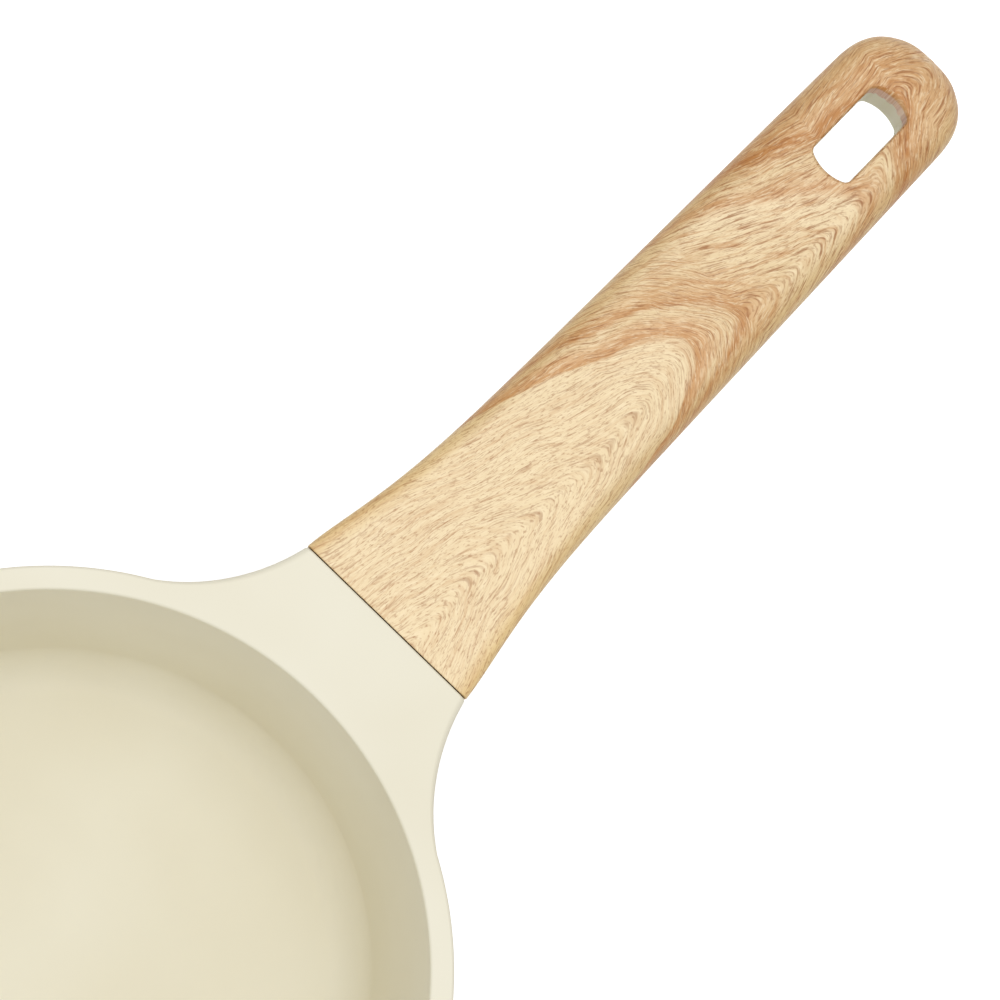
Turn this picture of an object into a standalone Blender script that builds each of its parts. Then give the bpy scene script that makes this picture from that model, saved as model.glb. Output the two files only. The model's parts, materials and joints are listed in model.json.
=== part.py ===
"""Saucepan with a wood-look handle, and its glass lid standing beside it.

Run with: blender --background --python part.py

The pan is one aluminium casting whose rim runs out into a flared neck. A tang
on the neck carries a moulded handle, held by one screw from below, and a
perforated steel plate under the base makes it work on induction hobs. The lid
is a glass dome in a steel rim band, with a steam vent and a screwed-on knob.

Frame: origin at the centre of the pan's foot, +Z up, +X along the handle.
The lid stands on the same surface behind the pan, on the -X side.
"""

import math

import bmesh
import bpy
from mathutils import Matrix, Vector

MM = 0.001

# Clearances
GAP = 0.3 * MM  # between two pieces that touch
EDGE = 0.7 * MM  # small broken edge on castings and mouldings

# Pan casting
PAN_HEIGHT = 78.0 * MM  # foot to rim
MOUTH_RADIUS = 79.3 * MM
RIM_WIDTH = 5.2 * MM
FOOT_INSET = 18.2 * MM  # from the mouth in to the edge of the flat floor
FLOOR_FILLET = 10.0 * MM
FLOOR_THICKNESS = 4.5 * MM
BASE_OVERHANG = 0.7 * MM  # the flat underside's radius over the flat floor's
BASE_FILLET = 14.0 * MM
PAN_SEGMENTS = 72

# Induction plate under the base
PLATE_MARGIN = 5.8 * MM  # from the plate's edge to the edge of the flat underside
PLATE_THICKNESS = 1.2 * MM
PLATE_PROUD = 0.5 * MM  # how far the plate stands below the casting
PLATE_HOLE_RADIUS = 2.2 * MM
PLATE_RING_HOLES = (6, 12, 18)  # holes in each ring, from the middle outwards
PLATE_FIRST_RING = 16.0 * MM  # radius of the innermost ring
PLATE_LAST_RING_INSET = 12.0 * MM  # from the plate's edge in to the outermost ring

# Neck and handle, seen from above
NECK_LENGTH = 16.4 * MM  # from the rim to the neck's end face
JOINT_HALF_WIDTH = 23.1 * MM
NECK_FILLET = 46.0 * MM  # from the rim into the neck
HANDLE_LENGTH = 164.6 * MM  # from the neck's end face to the tip
GRIP_HALF_WIDTH = 18.35 * MM  # of the straight taper, at the joint
GRIP_TAPER = 0.0225  # loss of half width along the handle
FLARE_LENGTH = 21.0 * MM  # how soon the grip opens out to the joint
FLARE_POWER = 1.46
TIP_ROUND = 14.0 * MM
TIP_POWER = 2.4

# Neck and handle, seen from the side
HANDLE_RISE = 18.0 * MM
JOINT_THICKNESS = 20.0 * MM
GRIP_SWELL = 2.4 * MM
GRIP_THINNING = 3.0 * MM
NECK_UNDER_FLARE = 0.55  # depth gained for each unit of half width gained

# Cross-section of the neck and of the handle, at the joint and in the grip
JOINT_TOP_ROUND, GRIP_TOP_ROUND = 1.6 * MM, 7.0 * MM
JOINT_SIDE, GRIP_SIDE = 4.0 * MM, 8.0 * MM  # top to widest point
JOINT_UNDER_POWER, GRIP_UNDER_POWER = 2.8, 2.3
GRIP_CROWN = 1.2 * MM
ROUNDING_LENGTH = 70.0 * MM  # how far along the handle that change takes

# Tang, its screw, and the socket in the handle
TANG_LENGTH, TANG_WIDTH, TANG_THICKNESS = 38.0 * MM, 18.0 * MM, 8.0 * MM
TANG_RAISED = 1.5 * MM  # above the middle of the neck
SCREW_FROM_JOINT = 18.1 * MM
SCREW_RADIUS = 2.45 * MM
SCREW_HOLE_RADIUS = SCREW_RADIUS + GAP
SCREW_HEAD_RADIUS, SCREW_HEAD_HEIGHT = 4.6 * MM, 2.4 * MM
SCREW_BITE = 6.0 * MM  # length inside the tang
SPRING_WASHER_RADIUS, SPRING_WASHER_THICKNESS = 4.3 * MM, 0.9 * MM
COUNTERBORE_RADIUS = 5.3 * MM
COUNTERBORE_DEPTH = SCREW_HEAD_HEIGHT + SPRING_WASHER_THICKNESS + 2 * GAP

# Hanging slot
SLOT_FROM_TIP = 23.4 * MM  # tip to the slot's middle
SLOT_HALF_LENGTH, SLOT_HALF_WIDTH = 10.4 * MM, 5.2 * MM
SLOT_END_RADIUS = 10.4 * MM  # of its bowed ends
SLOT_CORNER = 1.7 * MM
SLOT_EDGE = 1.7 * MM  # rounding of its mouths

# Lid: heights are above the surface that its lip stands on
LID_GAP_TO_PAN = 14.0 * MM  # free space between the pan's rim and the lid
GLASS = 4.0 * MM
GLASS_INSET = 2.5 * MM  # from the rim's outside in to the edge of the glass
FLANGE_WIDTH = 5.5 * MM  # flat margin of the glass, which the band holds
DOME_RISE = 20.0 * MM
DOME_KNUCKLE = 8.0 * MM
KNOB_SEAT_RADIUS = 16.5 * MM  # flat ground for the knob
BAND_SHEET = 0.6 * MM
BAND_TOP_LEG = 4.5 * MM
LIP_DEPTH = 5.0 * MM
LIP_CLEARANCE = 0.8 * MM  # between the lip and the pan's mouth
LID_SEGMENTS = 64

# Steam vent in the lid
VENT_RADIUS_FROM_CENTRE = 48.0 * MM
VENT_BORE_RADIUS = 1.6 * MM
EYELET_TUBE_RADIUS = 3.9 * MM
EYELET_TOP_RADIUS, EYELET_UNDER_RADIUS = 6.2 * MM, 5.4 * MM
EYELET_FLANGE = 0.8 * MM

# Knob stack
KNOB_HEIGHT = 27.0 * MM
KNOB_FOOT_RADIUS, KNOB_WAIST_RADIUS, KNOB_HEAD_RADIUS = 12.5 * MM, 10.5 * MM, 20.0 * MM
KNOB_PLATE_RADIUS, KNOB_PLATE_THICKNESS = 15.0 * MM, 1.2 * MM
GASKET_RADIUS, GASKET_THICKNESS = 14.0 * MM, 1.5 * MM
UNDER_GASKET_RADIUS = 9.0 * MM
UNDER_WASHER_RADIUS, UNDER_WASHER_THICKNESS = 8.0 * MM, 1.0 * MM
SLEEVE_RADIUS = 4.1 * MM
INSERT_RADIUS, INSERT_LENGTH = 4.2 * MM, 12.0 * MM
INSERT_RECESS = 0.9 * MM
KNOB_SEGMENTS = 40

# Worked out from the values above
RIM_RADIUS = MOUTH_RADIUS + RIM_WIDTH
FLOOR_RADIUS = MOUTH_RADIUS - FOOT_INSET  # flat part of the floor
BASE_RADIUS = FLOOR_RADIUS + BASE_OVERHANG  # flat part of the underside
PLATE_RADIUS = BASE_RADIUS - PLATE_MARGIN
JOINT_X = RIM_RADIUS + NECK_LENGTH  # end face of the neck
HANDLE_TIP_X = JOINT_X + HANDLE_LENGTH
SCREW_X = JOINT_X + SCREW_FROM_JOINT
SLOT_X = HANDLE_TIP_X - SLOT_FROM_TIP
GLASS_RADIUS = RIM_RADIUS - GLASS_INSET
FLANGE_INNER_RADIUS = GLASS_RADIUS - FLANGE_WIDTH
BASE_Z = PLATE_PROUD
RECESS_Z = PLATE_THICKNESS + GAP
FLOOR_Z = RECESS_Z + FLOOR_THICKNESS
LID_BAND_RADIUS = GLASS_RADIUS + GAP + BAND_SHEET
LID_X = -(RIM_RADIUS + LID_GAP_TO_PAN + LID_BAND_RADIUS)
SEAT_Z = LIP_DEPTH  # underside of the band, which rests on the pan's rim
FLANGE_Z = SEAT_Z + BAND_SHEET + GAP  # underside of the glass flange
LID_HOLE_RADIUS = SLEEVE_RADIUS + GAP

COLOURS = {  # colour, roughness, metallic
    "cream_coating": ((0.855, 0.795, 0.658), 0.45, 0.0),
    "wood_look_phenolic": ((0.80, 0.58, 0.34), 0.5, 0.0),
    "stainless_steel": ((0.62, 0.61, 0.59), 0.28, 1.0),
    "zinc_plated_steel": ((0.55, 0.56, 0.57), 0.35, 1.0),
    "brass": ((0.78, 0.57, 0.25), 0.35, 1.0),
    "tempered_glass": ((0.85, 0.93, 0.90), 0.05, 0.0),
    "silicone": ((0.70, 0.70, 0.68), 0.7, 0.0),
}


# ---------------------------------------------------------------- scene set-up


def clear_scene():
    for obj in list(bpy.data.objects):
        bpy.data.objects.remove(obj)


def new_collection(name):
    made = bpy.data.collections.new(name)
    bpy.context.scene.collection.children.link(made)
    return made


def material(name):
    """The named material, made on first use."""
    found = bpy.data.materials.get(name)
    if found:
        return found
    colour, roughness, metallic = COLOURS[name]
    made = bpy.data.materials.new(name)
    made.use_nodes = True
    shader = made.node_tree.nodes["Principled BSDF"]
    shader.inputs["Base Color"].default_value = (*colour, 1.0)
    shader.inputs["Roughness"].default_value = roughness
    shader.inputs["Metallic"].default_value = metallic
    if name == "tempered_glass":
        shader.inputs["Transmission Weight"].default_value = 1.0
    return made


def add_object(name, mesh, collection, finish=None, parent=None):
    obj = bpy.data.objects.new(name, mesh)
    collection.objects.link(obj)
    obj.parent = parent
    if finish:
        mesh.materials.append(material(finish))
    return obj


def add_cutter(name, mesh, collection, parent=None):
    """A helper that cuts or joins, and isn't part of the object."""
    obj = add_object(name, mesh, collection, parent=parent)
    obj.hide_render = True
    obj.display_type = "WIRE"
    return obj


def boolean(target, other, operation="DIFFERENCE"):
    modifier = target.modifiers.new(other.name, "BOOLEAN")
    modifier.operation = operation
    modifier.object = other


# ------------------------------------------------------------ shapes and curves


def arc(centre, radius, start, end, count):
    """count + 1 points on a circle in the (r, z) plane, angles in degrees."""
    points = []
    for i in range(count + 1):
        angle = math.radians(start + (end - start) * i / count)
        points.append(
            (centre[0] + radius * math.cos(angle), centre[1] + radius * math.sin(angle))
        )
    return points


def tangent_angle(centre, radius, point):
    """Angle in degrees at which a line from a point above touches the circle's outer side."""
    across, up = point[0] - centre[0], point[1] - centre[1]
    return math.degrees(
        math.atan2(up, across) - math.acos(radius / math.hypot(across, up))
    )


def smoothstep(t):
    t = min(max(t, 0.0), 1.0)
    return t * t * (3 - 2 * t)


def superellipse_fall(t, power):
    """1 at t = 0, falling to 0 at t = 1 along a quarter of a superellipse."""
    t = min(max(t, 0.0), 1.0)
    return (1 - t**power) ** (1 / power)


def turned(name, profile, segments, closed=False):
    """Mesh of a turned piece: (r, z) points, run down the outer side, about the Z axis."""
    count = len(profile)
    mesh = bpy.data.meshes.new(name)
    edges = [(i, i + 1) for i in range(count - 1)]
    if closed:
        edges.append((count - 1, 0))
    mesh.from_pydata([(r, 0.0, z) for r, z in profile], edges, [])
    helper = bpy.data.objects.new(name + "_profile", mesh)
    bpy.context.scene.collection.objects.link(helper)
    screw = helper.modifiers.new("turn", "SCREW")
    screw.axis = "Z"
    screw.angle = math.tau
    screw.steps = screw.render_steps = segments
    screw.use_merge_vertices = True
    screw.merge_threshold = 0.00001
    graph = bpy.context.evaluated_depsgraph_get()
    made = bpy.data.meshes.new_from_object(helper.evaluated_get(graph))
    bpy.data.objects.remove(helper)
    made.name = name
    return made


def smooth(obj, degrees=35.0):
    """Smooth shading that keeps edges sharper than the given angle."""
    obj.data.shade_smooth()
    obj.data.set_sharp_from_angle(angle=math.radians(degrees))


def box_mesh(name, low, high):
    mesh = bpy.data.meshes.new(name)
    form = bmesh.new()
    size = Vector(high) - Vector(low)
    middle = (Vector(high) + Vector(low)) / 2
    place = Matrix.Translation(middle) @ Matrix.Diagonal((*size, 1.0))
    bmesh.ops.create_cube(form, size=1.0, matrix=place)
    form.to_mesh(mesh)
    form.free()
    return mesh


def cylinder_mesh(name, radius, low, high, segments=24, place=None):
    """An upright cylinder from low to high on the Z axis, then moved by place."""
    mesh = bpy.data.meshes.new(name)
    form = bmesh.new()
    matrix = Matrix.Translation((0, 0, (low + high) / 2))
    if place:
        matrix = place @ matrix
    bmesh.ops.create_cone(
        form,
        cap_ends=True,
        segments=segments,
        radius1=radius,
        radius2=radius,
        depth=high - low,
        matrix=matrix,
    )
    form.to_mesh(mesh)
    form.free()
    return mesh


def loft(name, rings):
    """Closed mesh through rings that hold the same number of points each."""
    mesh = bpy.data.meshes.new(name)
    form = bmesh.new()
    loops = [[form.verts.new(point) for point in ring] for ring in rings]
    for near, far in zip(loops, loops[1:]):
        for i, corner in enumerate(near):
            j = (i + 1) % len(near)
            form.faces.new((corner, near[j], far[j], far[i]))
    form.faces.new(reversed(loops[0]))
    form.faces.new(loops[-1])
    bmesh.ops.recalc_face_normals(form, faces=form.faces)
    form.to_mesh(mesh)
    form.free()
    return mesh


# ------------------------------------------- the lines of the neck and handle


def neck_fillet_centre():
    """Centre of the arc that runs from the rim's circle to the corner of the joint."""
    reach = RIM_RADIUS + NECK_FILLET
    corner = math.hypot(JOINT_X, JOINT_HALF_WIDTH)
    swing = math.acos(
        (reach**2 + corner**2 - NECK_FILLET**2) / (2 * reach * corner)
    )
    angle = math.atan2(JOINT_HALF_WIDTH, JOINT_X) + swing
    return reach * math.cos(angle), reach * math.sin(angle)


def neck_start_x():
    """Where the fillet leaves the rim's circle."""
    across, up = neck_fillet_centre()
    return across * RIM_RADIUS / math.hypot(across, up)


def neck_half_width(x):
    across, up = neck_fillet_centre()
    return up - math.sqrt(NECK_FILLET**2 - (x - across) ** 2)


def grip_half_width(x):
    taper = GRIP_HALF_WIDTH - GRIP_TAPER * (x - JOINT_X)
    away = max(x - JOINT_X, 0.0) / FLARE_LENGTH
    flare = (JOINT_HALF_WIDTH - GRIP_HALF_WIDTH) * math.exp(-(away**FLARE_POWER))
    ending = (x - (HANDLE_TIP_X - TIP_ROUND)) / TIP_ROUND
    return (taper + flare) * superellipse_fall(ending, TIP_POWER)


def top_z(x):
    """Height of the upper face of the neck and handle, which leaves the rim level."""
    along = (x - RIM_RADIUS) / (HANDLE_TIP_X - RIM_RADIUS)
    return PAN_HEIGHT + HANDLE_RISE * smoothstep(along)


def thickness(x):
    if x <= JOINT_X:
        gained = neck_half_width(x) - JOINT_HALF_WIDTH
        return JOINT_THICKNESS + NECK_UNDER_FLARE * gained
    along = (x - JOINT_X) / (HANDLE_TIP_X - JOINT_X)
    swell = GRIP_SWELL * math.sin(math.pi * along)
    return JOINT_THICKNESS + swell - GRIP_THINNING * smoothstep(2.2 * along - 1.2)


def section(x, half_width, crown_share=1.0):
    """Ring of points across the neck or handle: flat top, round edges, full underside."""
    blend = smoothstep((x - JOINT_X) / ROUNDING_LENGTH)
    top_round = JOINT_TOP_ROUND + (GRIP_TOP_ROUND - JOINT_TOP_ROUND) * blend
    side = JOINT_SIDE + (GRIP_SIDE - JOINT_SIDE) * blend
    power = JOINT_UNDER_POWER + (GRIP_UNDER_POWER - JOINT_UNDER_POWER) * blend
    crown = GRIP_CROWN * blend * crown_share
    full = thickness(x)
    ending = (x - (HANDLE_TIP_X - TIP_ROUND)) / TIP_ROUND
    shrink = superellipse_fall(ending, 2.6)
    middle = top_z(x) - full * 0.45
    top_round = min(top_round, 0.8 * half_width)
    half = []
    flat = half_width - top_round
    for i in range(4):
        share = i / 4
        half.append((flat * share, crown * (1 - share * share)))
    for i in range(6):
        angle = math.radians(90 - 15 * i)
        half.append((flat + top_round * math.cos(angle), top_round * (math.sin(angle) - 1)))
    for i in range(8):
        angle = math.radians(90 * i / 8)
        half.append(
            (
                half_width * math.cos(angle) ** (2 / power),
                -side - (full - side) * math.sin(angle) ** (2 / power),
            )
        )
    ring = [(y, z) for y, z in half]
    ring.append((0.0, -full))
    ring += [(-y, z) for y, z in reversed(half[1:])]
    points = []
    for y, z in ring:
        height = top_z(x) + z
        points.append((x, y, middle + (height - middle) * shrink))
    return points


# ----------------------------------------------------------------- pan casting


def outer_profile():
    centre = (BASE_RADIUS, BASE_Z + BASE_FILLET)
    touch = tangent_angle(centre, BASE_FILLET, (RIM_RADIUS, PAN_HEIGHT))
    return [
        (0.0, PAN_HEIGHT),
        (RIM_RADIUS - EDGE, PAN_HEIGHT),
        (RIM_RADIUS - EDGE * 0.25, PAN_HEIGHT - EDGE * 0.25),
        (RIM_RADIUS, PAN_HEIGHT - EDGE),
        *arc(centre, BASE_FILLET, touch, -90, 6),
        (0.0, BASE_Z),
    ]


def cavity_profile():
    above = 6.0 * MM
    centre = (FLOOR_RADIUS, FLOOR_Z + FLOOR_FILLET)
    touch = tangent_angle(centre, FLOOR_FILLET, (MOUTH_RADIUS, PAN_HEIGHT))
    return [
        (0.0, PAN_HEIGHT + above),
        (MOUTH_RADIUS + EDGE, PAN_HEIGHT + above),
        (MOUTH_RADIUS + EDGE, PAN_HEIGHT),
        (MOUTH_RADIUS, PAN_HEIGHT - EDGE),
        *arc(centre, FLOOR_FILLET, touch, -90, 7),
        (0.0, FLOOR_Z),
    ]


def neck_mesh():
    """The neck, from inside the pan's wall to the joint. The cavity is cut through it later."""
    start = neck_start_x()
    buried = 8.0 * MM
    rings = []
    inner_x = start - buried
    inner_half = math.sqrt(RIM_RADIUS**2 - inner_x**2) - 4.0 * MM
    rings.append(section_at(inner_x, inner_half, start))
    steps = 9
    for i in range(steps + 1):
        x = start + (JOINT_X - start) * i / steps
        rings.append(section_at(x, neck_half_width(x), x))
    return loft("neck", rings)


def section_at(x, half_width, shaped_as):
    """A section with another station's depth, moved to x."""
    return [(x, y, z) for _, y, z in section(shaped_as, half_width)]


def tang_middle_z():
    return top_z(JOINT_X) - JOINT_THICKNESS / 2 + TANG_RAISED


def tang_box(extra=0.0):
    """Low and high corners of the tang, grown by extra at its sides and end."""
    middle = tang_middle_z()
    half_width = TANG_WIDTH / 2 + extra
    half_thick = TANG_THICKNESS / 2 + extra
    low = (JOINT_X - 10 * MM, -half_width, middle - half_thick)
    high = (JOINT_X + TANG_LENGTH + extra, half_width, middle + half_thick)
    return low, high


def build_pan(parts, cutters):
    pan = add_object(
        "pan_body", turned("pan_body", outer_profile(), PAN_SEGMENTS), parts, "cream_coating"
    )
    neck = add_cutter("join_neck", neck_mesh(), cutters)
    tang = add_cutter("join_tang", box_mesh("tang", *tang_box()), cutters)
    cavity = turned("cavity", cavity_profile(), PAN_SEGMENTS)
    recess = cylinder_mesh("recess", PLATE_RADIUS + GAP, -4 * MM, RECESS_Z, PAN_SEGMENTS)
    tapped = cylinder_mesh(
        "tapped_hole",
        SCREW_HOLE_RADIUS,
        tang_middle_z() - TANG_THICKNESS,
        tang_middle_z() - TANG_THICKNESS / 2 + SCREW_BITE + GAP,
        place=Matrix.Translation((SCREW_X, 0, 0)),
    )
    boolean(pan, neck, "UNION")
    boolean(pan, tang, "UNION")
    boolean(pan, add_cutter("cut_cavity", cavity, cutters))
    boolean(pan, add_cutter("cut_recess", recess, cutters))
    boolean(pan, add_cutter("cut_tapped_hole", tapped, cutters))
    smooth(pan)


def build_plate(parts, cutters):
    profile = [
        (0.0, PLATE_THICKNESS),
        (PLATE_RADIUS, PLATE_THICKNESS),
        (PLATE_RADIUS, 0.3 * MM),
        (PLATE_RADIUS - 0.3 * MM, 0.0),
        (0.0, 0.0),
    ]
    plate = add_object(
        "induction_plate",
        turned("induction_plate", profile, PAN_SEGMENTS),
        parts,
        "stainless_steel",
    )
    form = bmesh.new()
    last_ring = PLATE_RADIUS - PLATE_LAST_RING_INSET
    spacing = (last_ring - PLATE_FIRST_RING) / (len(PLATE_RING_HOLES) - 1)
    for ring, count in enumerate(PLATE_RING_HOLES):
        radius = PLATE_FIRST_RING + ring * spacing
        for i in range(count):
            angle = math.tau * i / count
            place = Matrix.Translation((radius * math.cos(angle), radius * math.sin(angle), 0))
            bmesh.ops.create_cone(
                form,
                cap_ends=True,
                segments=10,
                radius1=PLATE_HOLE_RADIUS,
                radius2=PLATE_HOLE_RADIUS,
                depth=8 * PLATE_THICKNESS,
                matrix=place,
            )
    holes = bpy.data.meshes.new("plate_holes")
    form.to_mesh(holes)
    form.free()
    boolean(plate, add_cutter("cut_plate_holes", holes, cutters))


# ---------------------------------------------------------------------- handle


def slot_outline(grown):
    """Slot outline about its own centre, straight sides and bowed ends, grown all round."""
    bow_centre = SLOT_HALF_LENGTH - SLOT_END_RADIUS
    side = SLOT_HALF_WIDTH - SLOT_CORNER
    reach = math.sqrt((SLOT_END_RADIUS - SLOT_CORNER) ** 2 - side**2)
    turned_in = math.atan2(side, reach)
    quarter = []
    for i in range(4):
        angle = turned_in * i / 4
        radius = SLOT_END_RADIUS + grown
        quarter.append((bow_centre + radius * math.cos(angle), radius * math.sin(angle)))
    for i in range(5):
        angle = turned_in + (math.pi / 2 - turned_in) * i / 4
        radius = SLOT_CORNER + grown
        quarter.append(
            (bow_centre + reach + radius * math.cos(angle), side + radius * math.sin(angle))
        )
    points = quarter + [(-x, y) for x, y in reversed(quarter)]
    return points + [(-x, -y) for x, y in points[1:-1]]


def slot_cutter_mesh():
    """The slot's opening, flared at both mouths so that its edges are round."""
    top = top_z(SLOT_X) + GRIP_CROWN
    under = top_z(SLOT_X) - thickness(SLOT_X)
    outside = 4.0 * MM
    slope = (top_z(SLOT_X + MM) - top_z(SLOT_X - MM)) / (2 * MM)
    quarter = [math.radians(90 * i / 3) for i in range(4)]
    levels = [(top + outside, SLOT_EDGE)]
    for angle in quarter:
        sunk = SLOT_EDGE * (1 - math.cos(angle))
        levels.append((top - sunk, SLOT_EDGE * (1 - math.sin(angle))))
    for angle in reversed(quarter):
        sunk = SLOT_EDGE * (1 - math.cos(angle))
        levels.append((under + sunk, SLOT_EDGE * (1 - math.sin(angle))))
    levels.append((under - outside, SLOT_EDGE))
    rings = []
    for z, grown in levels:
        rings.append(
            [(SLOT_X + x, y, z + slope * x) for x, y in slot_outline(grown)]
        )
    return loft("slot", rings)


def grip_mesh():
    start = JOINT_X + GAP
    straight_end = HANDLE_TIP_X - TIP_ROUND
    stations = [start + (straight_end - start) * i / 18 for i in range(18)]
    for i in range(9):
        stations.append(straight_end + TIP_ROUND * math.sin(math.radians(84) * i / 8))
    rings = [section(x, grip_half_width(x)) for x in stations]
    return loft("handle_grip", rings)


def screw_seat_z():
    """Floor of the counterbore that the spring washer bears on."""
    return top_z(SCREW_X) - thickness(SCREW_X) + COUNTERBORE_DEPTH


def build_handle(parts, cutters):
    grip = add_object("handle_grip", grip_mesh(), parts, "wood_look_phenolic")
    at_screw = Matrix.Translation((SCREW_X, 0, 0))
    seat = screw_seat_z()
    below = 8.0 * MM
    hole = cylinder_mesh(
        "screw_hole", SCREW_HOLE_RADIUS, seat - below, tang_middle_z(), place=at_screw
    )
    counterbore = cylinder_mesh(
        "counterbore", COUNTERBORE_RADIUS, seat - below, seat, 32, place=at_screw
    )
    boolean(grip, add_cutter("cut_slot", slot_cutter_mesh(), cutters))
    boolean(grip, add_cutter("cut_socket", box_mesh("socket", *tang_box(GAP)), cutters))
    boolean(grip, add_cutter("cut_screw_hole", hole, cutters))
    boolean(grip, add_cutter("cut_counterbore", counterbore, cutters))
    smooth(grip)


def pan_head_profile(head_radius, head_height, shank_radius, shank_length):
    """Screw standing on its head: head's face down at z = 0, shank up."""
    crown = 0.45 * head_height
    return [
        (0.0, head_height + shank_length),
        (shank_radius - 0.5 * MM, head_height + shank_length),
        (shank_radius, head_height + shank_length - 0.5 * MM),
        (shank_radius, head_height),
        (head_radius, head_height),
        (head_radius, crown),
        (head_radius * 0.9, crown * 0.35),
        (head_radius * 0.65, 0.0),
        (0.0, 0.0),
    ]


def cross_recess_mesh(name, reach, depth):
    """Cutter for a cross recess: two crossed bars, joined."""
    width = 1.1 * MM
    form = bmesh.new()
    corners = []
    for i in range(4):
        turn = Matrix.Rotation(math.radians(90 * i), 3, "Z")
        corners.append(turn @ Vector((width / 2, width / 2, 0)))
        corners.append(turn @ Vector((width / 2, reach, 0)))
        corners.append(turn @ Vector((-width / 2, reach, 0)))
    low = [form.verts.new((p.x, p.y, -2 * MM)) for p in corners]
    face = form.faces.new(low)
    made = bmesh.ops.extrude_face_region(form, geom=[face])
    top = [v for v in made["geom"] if isinstance(v, bmesh.types.BMVert)]
    bmesh.ops.translate(form, verts=top, vec=(0, 0, 2 * MM + depth))
    bmesh.ops.recalc_face_normals(form, faces=form.faces)
    mesh = bpy.data.meshes.new(name)
    form.to_mesh(mesh)
    form.free()
    return mesh


def build_handle_screw(parts, cutters):
    seat = screw_seat_z()
    head_z = seat - COUNTERBORE_DEPTH
    tip = tang_middle_z() - TANG_THICKNESS / 2 + SCREW_BITE
    shank = tip - head_z - SCREW_HEAD_HEIGHT
    profile = pan_head_profile(SCREW_HEAD_RADIUS, SCREW_HEAD_HEIGHT, SCREW_RADIUS, shank)
    screw = add_object(
        "handle_screw", turned("handle_screw", profile, 24), parts, "zinc_plated_steel"
    )
    screw.location = (SCREW_X, 0, head_z)
    recess = add_cutter(
        "cut_handle_recess", cross_recess_mesh("recess", 2.6 * MM, 1.4 * MM), cutters, screw
    )
    boolean(screw, recess)
    washer = add_object(
        "handle_spring_washer", spring_washer_mesh(), parts, "zinc_plated_steel"
    )
    washer.location = (SCREW_X, 0, seat - GAP - SPRING_WASHER_THICKNESS / 2)


def spring_washer_mesh():
    """A split ring of square wire whose ends step past each other."""
    opening = 14.0  # degrees
    steps = 28
    inner, outer = SCREW_HOLE_RADIUS, SPRING_WASHER_RADIUS
    step_up = 0.25 * MM
    half = SPRING_WASHER_THICKNESS / 2 - step_up / 2
    rings = []
    for i in range(steps + 1):
        share = i / steps
        angle = math.radians(opening / 2 + (360 - opening) * share)
        lift = step_up * (share - 0.5)
        across = Vector((math.cos(angle), math.sin(angle), 0))
        rings.append(
            [
                across * inner + Vector((0, 0, lift - half)),
                across * outer + Vector((0, 0, lift - half)),
                across * outer + Vector((0, 0, lift + half)),
                across * inner + Vector((0, 0, lift + half)),
            ]
        )
    return loft("spring_washer", rings)


# ------------------------------------------------------------------------- lid


def crown_radius():
    """Outer radius of the dome's crown, tangent to the knuckle above the flange."""
    reach = FLANGE_INNER_RADIUS
    rise, knuckle = DOME_RISE, DOME_KNUCKLE
    return (reach**2 + rise**2 - 2 * rise * knuckle) / (2 * rise)


def dome_face(inset):
    """(r, z) points down one face of the glass, from the knob seat to the flange's edge.

    inset is 0 for the upper face and the glass thickness for the lower one.
    """
    flange_top = FLANGE_Z + GLASS
    apex = flange_top + DOME_RISE
    crown = crown_radius()
    crown_centre = (0.0, apex - crown)
    knuckle_centre = (FLANGE_INNER_RADIUS, flange_top + DOME_KNUCKLE)
    leave = math.degrees(
        math.atan2(knuckle_centre[1] - crown_centre[1], knuckle_centre[0])
    )
    start = math.degrees(math.acos(KNOB_SEAT_RADIUS / crown))
    seat_z = crown_centre[1] + math.sqrt(crown**2 - KNOB_SEAT_RADIUS**2) - inset
    points = [(KNOB_SEAT_RADIUS - 0.5 * MM, seat_z)]
    for r, z in arc(crown_centre, crown - inset, start, leave, 8):
        if r > KNOB_SEAT_RADIUS - 0.4 * MM:
            points.append((r, min(z, seat_z)))
    knuckle = arc(knuckle_centre, DOME_KNUCKLE + inset, leave - 180, -90, 3)
    points += knuckle[1:]
    points.append((GLASS_RADIUS, flange_top - inset))
    return points


def seat_heights():
    """(upper, lower) face of the glass at the flat under the knob."""
    return dome_face(0.0)[0][1], dome_face(GLASS)[0][1]


def vent_place():
    """Frame of the vent: on the crown's upper face, Z along the glass's normal."""
    crown = crown_radius()
    tilt = math.asin(VENT_RADIUS_FROM_CENTRE / crown)
    centre_z = FLANGE_Z + GLASS + DOME_RISE - crown
    turn = Matrix.Rotation(-tilt, 4, "Y")
    return (
        Matrix.Translation((0, 0, centre_z)) @ turn @ Matrix.Translation((0, 0, crown))
    )


def build_lid_glass(parts, cutters, lid):
    upper = dome_face(0.0)
    lower = dome_face(GLASS)
    top, under = seat_heights()
    profile = [(LID_HOLE_RADIUS, top), *upper, *reversed(lower), (LID_HOLE_RADIUS, under)]
    glass = add_object(
        "lid_glass",
        turned("lid_glass", profile, LID_SEGMENTS, closed=True),
        parts,
        "tempered_glass",
        lid,
    )
    hole = cylinder_mesh(
        "vent_hole", EYELET_TUBE_RADIUS + GAP, -4 * GLASS, 2 * GLASS, 20, vent_place()
    )
    boolean(glass, add_cutter("cut_vent_hole", hole, cutters, lid))
    smooth(glass)


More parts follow.
